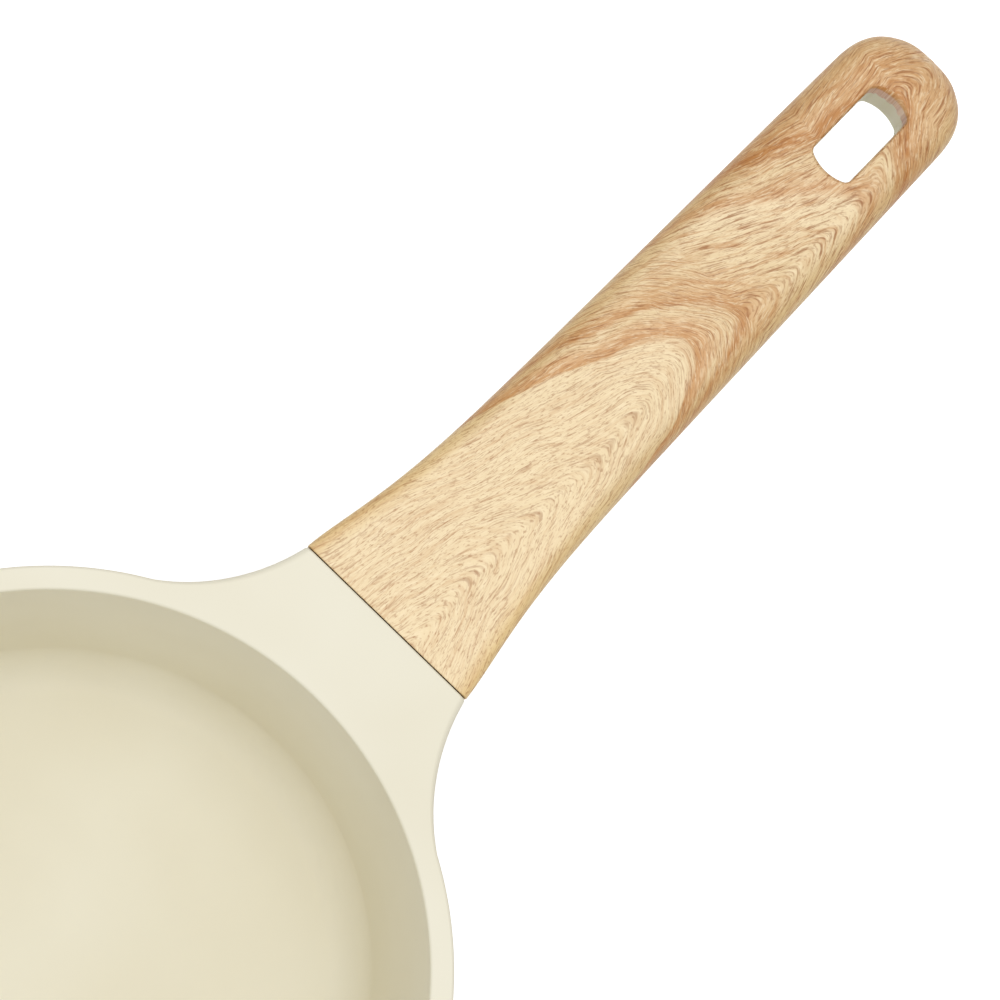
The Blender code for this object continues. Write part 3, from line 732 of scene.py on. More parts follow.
    def _grain(
        self,
        tree: bpy.types.NodeTree,
        spot: bpy.types.Node,
        lines: bpy.types.Node,
        size: Point2,
        detail: float,
    ) -> bpy.types.Node:
        """Noise drawn out along the level lines of a value.

        Args:
            tree: The material's node tree.
            spot: The warped place on the film.
            lines: The value whose level lines the streaks follow, in mm.
            size: Width of a streak and its length, in mm.
            detail: Octaves of finer detail.

        Returns:
            The noise node.
        """
        across, along = size
        scaled = add_node(
            tree, VECTOR_MATHS, (spot, (1 / along, 1 / along, 0.0)), operation="MULTIPLY"
        )
        parts = add_node(tree, SEPARATE, (scaled,))
        ring_shade_shares = add_node(tree, MATHS, (lines, 1 / across), operation="MULTIPLY")
        vector = add_node(tree, COMBINE, (parts.outputs[0], parts.outputs[1], ring_shade_shares))
        return add_node(
            tree, NOISE, {"Vector": vector, "Scale": 1.0, "Detail": detail, "Roughness": 0.6}
        )

    def _colour(
        self,
        tree: bpy.types.NodeTree,
        rings: bpy.types.Node,
        lines: bpy.types.Node,
        spot: bpy.types.Node,
    ) -> bpy.types.NodeSocket:
        """The film's colour: arches, streaks and pores along them, and painted shade at the sides.

        Args:
            tree: The material's node tree.
            rings: The growth rings.
            lines: The value that the pores run level with.
            spot: The warped place on the film.

        Returns:
            The colour socket.
        """
        bands = self._grain(tree, spot, rings, self.band_streaks, 3.0)
        shifted = add_node(
            tree, MATHS, (bands, self.band_reach, rings), operation="MULTIPLY_ADD"
        )
        place = add_node(tree, RANGE, (shifted, self.ring_start, self.ring_end, 0.0, 1.0))
        ramp = add_node(
            tree,
            RAMP,
            (place,),
            stops=(
                (0.0, self.heart),
                (0.425, self.heart),
                (0.434, self.arch_line),
                (0.448, "#dcae7c"),
                (0.480, self.tan),
                (0.500, "#cc9861"),
                (0.514, "#deb785"),
                (0.560, self.tan),
                (0.655, self.pale),
                (0.672, "#dbb182"),
                (0.720, self.tan),
                (0.772, self.umber),
                (0.790, "#d8ac7a"),
                (1.0, self.tan),
            ),
        )
        colour = ramp.outputs[0]
        beyond = add_node(tree, RANGE, (rings, *self.heart_end, 0.0, 1.0))
        layers = (  # lines, size, detail, noise from and to, strength in the heart and beyond
            (rings, (2.2, 18.0), 3.0, 0.52, 0.64, (0.18, 0.45), self.umber),
            (lines, (0.8, 14.0), 3.0, 0.50, 0.66, (0.28, 0.55), self.umber),
            (lines, (0.40, 2.6), 2.0, 0.50, 0.34, (0.50, 0.50), self.fleck),
            (lines, (0.34, 5.0), 2.0, 0.53, 0.68, (0.45, 0.75), self.pore),
            (lines, (0.28, 1.1), 1.5, 0.54, 0.70, (0.48, 0.45), self.pore),
        )
        for follows, size, detail, low, high, strengths, tint in layers:
            grain = self._grain(tree, spot, follows, size, detail)
            strength = add_node(tree, RANGE, (beyond, 0.0, 1.0, *strengths))
            share = add_node(tree, RANGE, (grain, low, high, 0.0, strength))
            colour = add_node(
                tree, MIX, {0: share, 6: colour, 7: linear(tint)}, data_type="RGBA"
            ).outputs[2]
        # painted shade: the print is multiplied by a darker tint round the sides, where the handle
        # turns away from the overhead light
        stretch = add_node(tree, UV_MAP, uv_map="stretch")
        return add_node(
            tree,
            MIX,
            {0: add_node(tree, SEPARATE, (stretch,)), 6: colour, 7: linear(self.painted_side_shade)},
            data_type="RGBA",
            blend_type="MULTIPLY",
        ).outputs[2]

    def _fade_to_bare(
        self,
        tree: bpy.types.NodeTree,
        colour: bpy.types.NodeSocket,
        top: Callable[[float], float],
    ) -> bpy.types.NodeSocket:
        """Ends the print part of the way down a wall.

        Args:
            tree: The material's node tree.
            colour: The printed colour.
            top: Height of the handle's top at an x.

        Returns:
            The colour with the unprinted lacquer below the print's ragged end.
        """
        near, far = self.slot_ends
        slope = (top(far) - top(near)) / (far - near)
        place = add_node(tree, COORDINATES).outputs["Object"]
        parts = add_node(tree, SEPARATE, (place,))
        level = add_node(
            tree,
            MATHS,
            (parts.outputs[0], slope, top(near) - slope * near),
            operation="MULTIPLY_ADD",
        )
        depth = add_node(tree, MATHS, (level, parts.outputs[2]), operation="SUBTRACT")
        ragged = add_node(
            tree, NOISE, {"Vector": place, "Scale": 1 / self.ragged_size, "Detail": 3.0}
        )
        uneven = add_node(
            tree, MATHS, (ragged, self.ragged_reach, depth), operation="MULTIPLY_ADD"
        )
        start, end = (self.print_end + edge for edge in self.ragged_edge)
        share = add_node(tree, RANGE, (uneven, start, end, 0.0, 1.0))
        return add_node(
            tree, MIX, {0: share, 6: colour, 7: linear(self.bare)}, data_type="RGBA"
        ).outputs[2]


@dataclass(frozen=True)
class BrushedSteel:
    """Stainless steel, stamped or turned and then brushed round its axis.

    Fine rings of scratches draw the highlights out; 0.15 mm apart on the real piece
    and drawn at 0.4 mm, so that they show.
    """

    name: str
    centre: Point3
    colour: str = "#cac8c4"
    dark: str = "#b3b1ad"
    roughness: float = 0.26
    scratch: float = 0.4 * MM
    scratch_depth: float = 0.01 * MM
    swirls: float = 1.5  # how often the scratches break off round a radian
    smudge: float = 18 * MM

    def material(self) -> bpy.types.Material:
        """Builds the finish.

        Returns:
            The node material.
        """
        made, tree, shader = new_material(self.name)
        set_inputs(shader, Metallic=1.0, Anisotropic=0.4)
        place = add_node(tree, COORDINATES).outputs["Object"]
        local = add_node(
            tree, MAPPING, {"Vector": place, "Location": tuple(-c for c in self.centre)}
        )
        parts = add_node(tree, SEPARATE, (local,))
        flat = add_node(tree, VECTOR_MATHS, (local, (1.0, 1.0, 0.0)), operation="MULTIPLY")
        radius = add_node(tree, VECTOR_MATHS, (flat,), operation="LENGTH").outputs["Value"]
        turn = add_node(tree, MATHS, (parts.outputs[1], parts.outputs[0]), operation="ARCTAN2")
        vector = add_node(
            tree,
            COMBINE,
            (
                add_node(tree, MATHS, (radius, 1 / self.scratch), operation="MULTIPLY"),
                add_node(tree, MATHS, (turn, self.swirls), operation="MULTIPLY"),
                add_node(tree, MATHS, (parts.outputs[2], 1 / self.scratch), operation="MULTIPLY"),
            ),
        )
        scratches = add_node(tree, NOISE, {"Vector": vector, "Scale": 1.0, "Detail": 3.0})
        smudge = add_node(tree, NOISE, {"Vector": place, "Scale": 1 / self.smudge, "Detail": 2.0})
        share = add_node(tree, RANGE, (scratches, 0.35, 0.7, 0.0, 1.0))
        give_colour(tree, shader, share, self.colour, self.dark)
        gloss = (smudge, self.roughness - 0.05, self.roughness + 0.07)
        give_texture(tree, shader, gloss, (scratches, 0.3, self.scratch_depth))
        return made


@dataclass(frozen=True)
class PlainMetal:
    """A plated or turned metal with a slightly uneven colour.

    Zinc plate has a cold, milky gloss that drifts to straw; turned brass is warm and
    a little dull where it was handled.
    """

    name: str
    colour: str
    tarnish: str
    roughness: float
    patch: float = 2.5 * MM
    pitting: float = 0.01 * MM

    def material(self) -> bpy.types.Material:
        """Builds the finish.

        Returns:
            The node material.
        """
        made, tree, shader = new_material(self.name)
        set_inputs(shader, Metallic=1.0)
        place = add_node(tree, COORDINATES).outputs["Object"]
        patches = add_node(
            tree, NOISE, {"Vector": place, "Scale": 1 / self.patch, "Detail": 4.0}
        )
        share = add_node(tree, RANGE, (patches, 0.4, 0.7, 0.0, 1.0))
        give_colour(tree, shader, share, self.colour, self.tarnish)
        gloss = (patches, self.roughness - 0.06, self.roughness + 0.08)
        give_texture(tree, shader, gloss, (patches, 0.2, self.pitting))
        return made


@dataclass(frozen=True)
class TemperedGlass:
    """Soda-lime glass, pressed over a mould and tempered.

    Clear, with the green of its iron at the edges, and a very slight waviness from
    the press.
    """

    colour: str = "#fafcfb"
    iron_tint: str = "#f6fbf8"
    ior: float = 1.52
    wave_size: float = 28 * MM
    wave_depth: float = 0.05 * MM

    def material(self) -> bpy.types.Material:
        """Builds the finish.

        Returns:
            The node material.
        """
        made, tree, shader = new_material("tempered_soda_lime_glass")
        set_inputs(shader, Transmission_Weight=1.0, IOR=self.ior)
        place = add_node(tree, COORDINATES).outputs["Object"]
        wave = add_node(tree, NOISE, {"Vector": place, "Scale": 1 / self.wave_size})
        give_colour(tree, shader, wave, self.colour, self.iron_tint)
        give_texture(tree, shader, (wave, 0.0, 0.03), (wave, 0.15, self.wave_depth))
        return made


@dataclass(frozen=True)
class Silicone:
    """Moulded food-grade silicone: matt, milky grey, with a soft bloom of fine dust."""

    colour: str = "#d6d6d1"
    bloom: str = "#e4e4df"
    roughness: float = 0.62
    grit: float = 0.8 * MM
    grit_depth: float = 0.02 * MM

    def material(self) -> bpy.types.Material:
        """Builds the finish.

        Returns:
            The node material.
        """
        made, tree, shader = new_material("moulded_silicone")
        set_inputs(shader, Subsurface_Weight=0.15, Subsurface_Scale=1.5 * MM)
        place = add_node(tree, COORDINATES).outputs["Object"]
        dust = add_node(tree, NOISE, {"Vector": place, "Scale": 1 / self.grit, "Detail": 3.0})
        give_colour(tree, shader, dust, self.colour, self.bloom)
        gloss = (dust, self.roughness - 0.05, self.roughness + 0.1)
        give_texture(tree, shader, gloss, (dust, 0.2, self.grit_depth))
        return made


@dataclass
class Finishes:
    """Every finish of the object, made once."""

    cream: bpy.types.Material = field(default_factory=lambda: CreamCoating().material())
    wood: bpy.types.Material = field(default_factory=lambda: WoodFilm().material())
    glass: bpy.types.Material = field(default_factory=lambda: TemperedGlass().material())
    silicone: bpy.types.Material = field(default_factory=lambda: Silicone().material())
    zinc: bpy.types.Material = field(
        default_factory=lambda: PlainMetal(
            "bright_zinc_plate", "#bfc3c8", "#c9c6b4", 0.32
        ).material()
    )
    brass: bpy.types.Material = field(
        default_factory=lambda: PlainMetal("turned_brass", "#dfb865", "#b98d46", 0.34).material()
    )


def dressed(
    piece: bpy.types.Object,
    finish: bpy.types.Material,
    body: Body,
    slot: Slot,
    *nodes: str,
) -> bpy.types.Object:
    """Gives a piece its finish and its place in the frame.

    Args:
        piece: The finished mesh.
        finish: Its main material, unless the mesh already has its own.
        body: The body that it rides on.
        slot: The record's slot for its finish; not used.
        *nodes: The frame's nodes that it stands for.

    Returns:
        The same piece.
    """
    if not any(piece.data.materials):
        piece.data.materials.clear()
        piece.data.materials.append(finish)
        piece.data.polygons.foreach_set("material_index", [0] * len(piece.data.polygons))
    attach(piece, body.value)
    if nodes:
        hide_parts(*nodes)
    LOG.info("%s: %d faces", piece.name, len(piece.data.polygons))
    return piece


# -------------------------------------------------- the lines of the neck and handle


@dataclass(frozen=True)
class HandleLines:
    """The outline that runs from the rim through the neck to the handle's tip."""

    pan_height: float
    rim_radius: float
    joint_x: float
    joint_half_width: float = 23.1 * MM
    neck_fillet: float = 46.0 * MM
    handle_length: float = 164.6 * MM
    grip_half_width: float = 18.35 * MM
    grip_taper: float = 0.0225
    flare_length: float = 21.0 * MM
    flare_power: float = 1.46
    tip_round: float = 14.0 * MM
    tip_power: float = 2.4
    rise: float = 18.0 * MM
    joint_thickness: float = 20.0 * MM
    grip_swell: float = 2.4 * MM
    grip_thinning: float = 3.0 * MM
    neck_under_flare: float = 0.55
    top_rounds: Point2 = (1.6 * MM, 7.0 * MM)  # at the joint and in the grip
    sides: Point2 = (4.0 * MM, 8.0 * MM)  # from the top to the widest point
    under_powers: Point2 = (2.8, 2.3)
    crown: float = 1.2 * MM
    rounding_length: float = 70.0 * MM
    closing_power: float = 2.6  # the tip closes in height along this superellipse
    closing_depth: float = 0.45  # towards this share of the depth
    section_steps: tuple[int, int, int] = (8, 10, 16)  # on the top, its round and the underside
    thinning_start: float = 1.2  # the grip thins over the last part of its length
    thinning_rate: float = 2.2

    @property
    def tip_x(self) -> float:
        """The x of the handle's tip."""
        return self.joint_x + self.handle_length

    def fillet_centre(self) -> Point2:
        """Finds the arc that runs from the rim's circle to the joint's corner.

        Returns:
            The arc's centre.
        """
        reach = self.rim_radius + self.neck_fillet
        corner = math.hypot(self.joint_x, self.joint_half_width)
        swing = math.acos((reach**2 + corner**2 - self.neck_fillet**2) / (2 * reach * corner))
        angle = math.atan2(self.joint_half_width, self.joint_x) + swing
        return reach * math.cos(angle), reach * math.sin(angle)

    def neck_start(self) -> float:
        """The x at which the fillet leaves the rim's circle."""
        across, up = self.fillet_centre()
        return across * self.rim_radius / math.hypot(across, up)

    def neck_half_width(self, x: float) -> float:
        """Half the width of the neck at x."""
        across, up = self.fillet_centre()
        return up - math.sqrt(self.neck_fillet**2 - (x - across) ** 2)

    def grip_half_width_at(self, x: float) -> float:
        """The handle's outline.

        Args:
            x: The station.

        Returns:
            Half the width there.
        """
        taper = self.grip_half_width - self.grip_taper * (x - self.joint_x)
        away = max(x - self.joint_x, 0.0) / self.flare_length
        flare = (self.joint_half_width - self.grip_half_width) * math.exp(
            -(away**self.flare_power)
        )
        return (taper + flare) * superellipse_fall(self.ending(x), self.tip_power)

    def ending(self, x: float) -> float:
        """Share of the rounded tip that lies before x."""
        return (x - (self.tip_x - self.tip_round)) / self.tip_round

    def top(self, x: float) -> float:
        """Height of the upper face."""
        along = (x - self.rim_radius) / (self.tip_x - self.rim_radius)
        return self.pan_height + self.rise * smoothstep(along)

    def thickness(self, x: float) -> float:
        """Depth of the neck or handle.

        Args:
            x: The station.

        Returns:
            The depth there, from the upper face to the underside.
        """
        if x <= self.joint_x:
            gained = self.neck_half_width(x) - self.joint_half_width
            return self.joint_thickness + self.neck_under_flare * gained
        along = (x - self.joint_x) / (self.tip_x - self.joint_x)
        swell = self.grip_swell * math.sin(math.pi * along)
        thinned = smoothstep(self.thinning_rate * along - self.thinning_start)
        return self.joint_thickness + swell - self.grip_thinning * thinned

    def section(self, x: float, half_width: float, inset: float = 0.0) -> list[Point3]:
        """Ring of points across the neck or handle, from the top's middle round to it.

        Args:
            x: The station.
            half_width: Half its width there.
            inset: How far the whole ring is drawn in, for a broken edge.

        Returns:
            The ring's points.
        """
        blend = smoothstep((x - self.joint_x) / self.rounding_length)
        top_round, side, power = (
            pair[0] + (pair[1] - pair[0]) * blend
            for pair in (self.top_rounds, self.sides, self.under_powers)
        )
        full = self.thickness(x)
        shrink = superellipse_fall(self.ending(x), self.closing_power)
        top_round = min(top_round, 0.8 * half_width)
        flat = half_width - top_round
        half: list[Point2] = []
        on_top, on_round, on_under = self.section_steps
        for i in range(on_top):
            share = i / on_top
            half.append((flat * share, self.crown * blend * (1 - share * share)))
        for i in range(on_round):
            angle = math.radians(90 - 90 * i / on_round)
            half.append(
                (flat + top_round * math.cos(angle), top_round * (math.sin(angle) - 1))
            )
        for i in range(on_under):
            angle = math.radians(90 * i / on_under)
            half.append(
                (
                    half_width * math.cos(angle) ** (2 / power),
                    -side - (full - side) * math.sin(angle) ** (2 / power),
                )
            )
        ring = [*half, (0.0, -full), *((-y, z) for y, z in reversed(half[1:]))]
        middle = self.top(x) - full * self.closing_depth
        drawn_y = 1 - inset / max(half_width, inset + MM)
        drawn_z = (1 - 2 * inset / full) * shrink
        return [(x, y * drawn_y, middle + (self.top(x) + z - middle) * drawn_z) for y, z in ring]


# ----------------------------------------------------------------------------- pan


@dataclass
class Pan:
    """The cast body with its tang, and the induction plate pressed into its foot."""

    lines: HandleLines
    base_z: float
    plate_radius: float
    plate_thickness: float
    screw_x: float
    mouth_radius: float = 79.3 * MM
    floor_radius: float = 61.1 * MM
    floor_fillet: float = 10.0 * MM
    floor_z: float = 6.0 * MM
    base_radius: float = 61.8 * MM
    base_fillet: float = 14.0 * MM
    edge: float = 0.7 * MM
    plate_holes: tuple[tuple[float, int], ...] = ((16 * MM, 6), (30 * MM, 12), (44 * MM, 18))
    plate_hole_radius: float = 2.2 * MM
    tang_length: float = 38.0 * MM
    tang_width: float = 18.0 * MM
    tang_thickness: float = 8.0 * MM
    tang_raised: float = 1.5 * MM
    screw_hole_radius: float = 2.75 * MM
    screw_bite: float = 6.3 * MM
    wall_draft: float = 0.137  # the wall leans in by this much for each unit of depth
    root_drop: float = 12.0 * MM  # the neck's underside runs down into the wall
    root_length: float = 16.0 * MM
    root_inside: float = 4.0 * MM  # the drop grows up to this far inside the rim
    kept_depth: float = 0.5 * MM  # the upper face stays as it is
    buried: Point2 = (8.0 * MM, 4.0 * MM)  # the neck starts this far inside the wall, narrower
    neck_steps: int = 40
    joint_break: Point2 = (0.3 * MM, 0.25 * MM)  # length and depth of the broken edge
    tang_root: float = 10.0 * MM  # the tang starts inside the neck
    foot_land: float = 2.4 * MM  # flat ring round the plate
    above: float = 6.0 * MM  # the cavity's cutter stands above the rim
    below: float = 4.0 * MM  # and the recess's cutter below the foot

    def build(self, finishes: Finishes) -> None:
        """Builds and dresses the casting and the plate.

        Args:
            finishes: The finishes, for the cream coating.
        """
        dressed(self._casting(), finishes.cream, Body.PAN, Slot.CREAM, "pan_body")
        steel = BrushedSteel("spun_stainless_plate", (0.0, 0.0, 0.0), roughness=0.3).material()
        dressed(self._plate(), steel, Body.PAN, Slot.STEEL, "induction_plate")

    def tang_middle(self) -> float:
        """Height of the tang's middle."""
        lines = self.lines
        return lines.top(lines.joint_x) - lines.joint_thickness / 2 + self.tang_raised

    def tang_box(self, extra: float = 0.0) -> tuple[Point3, Point3]:
        """The tang's box.

        Args:
            extra: How far it is grown at its sides and its end.

        Returns:
            Its low and its high corner.
        """
        width, thick = self.tang_width / 2 + extra, self.tang_thickness / 2 + extra
        joint = self.lines.joint_x
        start, end = joint - self.tang_root, joint + self.tang_length + extra
        middle = self.tang_middle()
        return (start, -width, middle - thick), (end, width, middle + thick)

    def _casting(self) -> bpy.types.Object:
        """Bowl, neck and tang as one casting.

        Returns:
            The new piece.
        """
        lines = self.lines
        casting = turned("pan_casting", self._outside(), closed=False, steps=256)
        joined(casting, lofted("neck", self._neck_rings()), "UNION")
        tang = modified(block("tang", *self.tang_box()), "BEVEL", width=MM, segments=3)
        joined(casting, tang, "UNION")
        joined(casting, turned("cavity", self._inside(), closed=False, steps=256))
        recess_radius, ceiling = self.plate_radius + GAP, self.plate_thickness + GAP
        corners = (
            (0, -self.below, 0),
            (recess_radius, -self.below, 0),
            (recess_radius, ceiling, 0.2 * MM),
            (0, ceiling, 0),
        )
        profile = rounded(corners, closed=False)
        joined(casting, turned("recess", profile, closed=False, steps=256))
        tapped = rod(
            "tapped_hole",
            self.screw_hole_radius,
            self.tang_middle() - self.tang_thickness,
            self.tang_middle() - self.tang_thickness / 2 + self.screw_bite,
            Matrix.Translation((self.screw_x, 0, 0)),
        )
        joined(casting, tapped)
        smoothed(casting, 32)
        return modified(casting, "WEIGHTED_NORMAL", keep_sharp=True, weight=80)

    def _outside(self) -> list[Point2]:
        """Profile of the solid that the bowl is cut from.

        Returns:
            (r, z) points from the top's middle down to the foot's.
        """
        height, radius, edge = self.lines.pan_height, self.lines.rim_radius, self.edge
        centre = (self.base_radius, self.base_z + self.base_fillet)
        touch = tangent_angle(centre, self.base_fillet, (radius, height))
        wall = arc(centre, self.base_fillet, touch, -90, 18)
        corners = ((0, height, 0), (radius, height, edge), (*wall[0], 0))
        top = rounded(corners, closed=False, steps=5)
        foot_step = (self.plate_radius + self.foot_land, self.base_z)
        return [*top[:-1], *wall, foot_step, (0.0, self.base_z)]

    def _inside(self) -> list[Point2]:
        """Profile of the cavity.

        Returns:
            (r, z) points from above the rim down to the floor's middle.
        """
        height, mouth, edge = self.lines.pan_height, self.mouth_radius, self.edge
        centre = (self.floor_radius, self.floor_z + self.floor_fillet)
        touch = tangent_angle(centre, self.floor_fillet, (mouth, height))
        lip = arc((mouth + edge, height - edge), edge, 90, 180, 5)
        wall = arc(centre, self.floor_fillet, touch, -90, 20)
        top = height + self.above
        return [(0.0, top), (mouth + edge, top), *lip, *wall, (0.0, self.floor_z)]

    def _neck_rings(self) -> list[list[Point3]]:
        """Rings of the neck.

        Returns:
            The rings, from inside the wall to the broken edge at the joint.
        """
        lines = self.lines
        start, end = lines.neck_start(), lines.joint_x
        inner = start - self.buried[0]
        inner_half = math.sqrt(lines.rim_radius**2 - inner**2) - self.buried[1]
        rings = [[(inner, y, z) for _, y, z in lines.section(start, inner_half)]]
        for i in range(self.neck_steps):
            x = start + (end - start) * i / self.neck_steps
            rings.append(lines.section(x, lines.neck_half_width(x)))
        break_length, break_depth = self.joint_break
        half_width = lines.neck_half_width(end)
        rings.append(lines.section(end - break_length, half_width))
        rings.append(lines.section(end, half_width, break_depth))
        return [[self._rooted(point) for point in ring] for ring in rings]

    def _rooted(self, point: Point3) -> Point3:
        """Runs the neck's sides and underside smoothly into the bowl's leaning wall.

        Args:
            point: A point on the neck.

        Returns:
            The point, lowered and drawn in where it is near the wall.
        """
        x, y, z = point
        top, out = self.lines.top(x), math.hypot(x, y)
        depth = top - z
        if depth < self.kept_depth:
            return point
        away = max(out - self.lines.rim_radius, -self.root_inside)
        near = max(0.0, 1 - away / self.root_length)
        under = smoothstep(depth / self.lines.joint_thickness)
        dropped = z - self.root_drop * under * near**3
        lean = self.wall_draft * (top - dropped) * min(near, 1.0) ** 2
        drawn = 1 - lean / max(out, MM)
        return x * drawn, y * drawn, dropped

    def _plate(self) -> bpy.types.Object:
        """The perforated plate.

        Returns:
            The new piece.
        """
        thick, radius = self.plate_thickness, self.plate_radius
        corners = ((0, thick, 0), (radius, thick, 0.2 * MM), (radius, 0, 0.4 * MM), (0, 0, 0))
        profile = rounded(corners, closed=False)
        plate = turned("spun_plate", profile, closed=False, steps=192)
        for ring_radius, count in self.plate_holes:
            at_ring = Matrix.Translation((ring_radius, 0, 0))
            hole = rod("plate_hole", self.plate_hole_radius, -4 * thick, 4 * thick, at_ring)
            copies = [hole]
            for i in range(1, count):
                copy = hole.copy()
                copy.data = hole.data.copy()
                bpy.context.scene.collection.objects.link(copy)
                copies.append(placed(copy, Matrix.Rotation(math.tau * i / count, 4, "Z")))
            only(hole)
            for copy in copies:
                copy.select_set(True)
            bpy.ops.object.join()
            joined(plate, hole)
        return smoothed(plate, 30)


# -------------------------------------------------------------------------- handle


@dataclass
class Screw:
    """A pan-head screw with a cross recess and a rolled thread, standing on its head."""

    shank_radius: float = 2.45 * MM
    head_radius: float = 4.6 * MM
    head_height: float = 2.4 * MM
    pitch: float = 0.8 * MM
    thread_depth: float = 0.42 * MM
    thread_from_head: float = 1.0 * MM
    thread_from_end: float = 0.6 * MM
    rings_per_turn: int = 6
    point_chamfer: float = 0.5 * MM
    recess_reach: float = 2.6 * MM
    recess_width: float = 1.1 * MM
    recess_depth: float = 1.4 * MM

    def build(self, name: str, length: float, place: Matrix) -> bpy.types.Object:
        """Models one screw.

        Args:
            name: Name of the piece.
            length: Length of its shank.
            place: Where its head's outer face stands.

        Returns:
            The new piece.
        """
        radius, head = self.shank_radius, self.head_height
        end = head + length
        thread_start, thread_end = head + self.thread_from_head, end - self.thread_from_end
        threaded = thread_end - thread_start
        steps = int(threaded / self.pitch * self.rings_per_turn)
        thread = [(radius, thread_end - threaded * i / steps) for i in range(steps + 1)]
        cap = rounded(
            (
                (radius, head, 0),
                (self.head_radius, head, 0.3 * MM),
                (self.head_radius, 0.45 * head, 0.8 * MM),
                (self.head_radius * 0.72, 0, 1.2 * MM),
                (0, 0, 0),
            ),
            closed=False,
        )
        profile = [(0.0, end), (radius - self.point_chamfer, end), *thread, *cap]
        screw = turned(name, profile, closed=False, steps=40)
        for vertex in screw.data.vertices:
            self._cut_thread(vertex, thread_start, thread_end)
        for turn in (0.0, 90.0):
            bar = block(
                "recess_bar",
                (-self.recess_width / 2, -self.recess_reach, -MM),
                (self.recess_width / 2, self.recess_reach, self.recess_depth),
            )
            joined(screw, placed(bar, Matrix.Rotation(math.radians(turn), 4, "Z")))
        smoothed(screw, 40)
        return placed(screw, place)

    def _cut_thread(self, vertex: bpy.types.MeshVertex, low: float, high: float) -> None:
        """Moves one vertex of the shank in to the thread's groove.

        Args:
            vertex: The vertex; one that isn't on the shank stays.
            low: Height at which the thread starts.
            high: Height at which it ends.
        """
        across = math.hypot(vertex.co.x, vertex.co.y)
        if abs(across - self.shank_radius) > 0.01 * MM or not low <= vertex.co.z <= high:
            return
        turn = math.atan2(vertex.co.y, vertex.co.x) / math.tau
        phase = (vertex.co.z / self.pitch - turn) % 1.0
        from_low, from_high = vertex.co.z - low, high - vertex.co.z
        runout = min(1.0, from_low / self.pitch, from_high / (0.5 * self.pitch))
        cut = self.thread_depth * (1 - abs(2 * phase - 1)) * max(runout, 0.0)
        vertex.co.x *= 1 - cut / across
        vertex.co.y *= 1 - cut / across


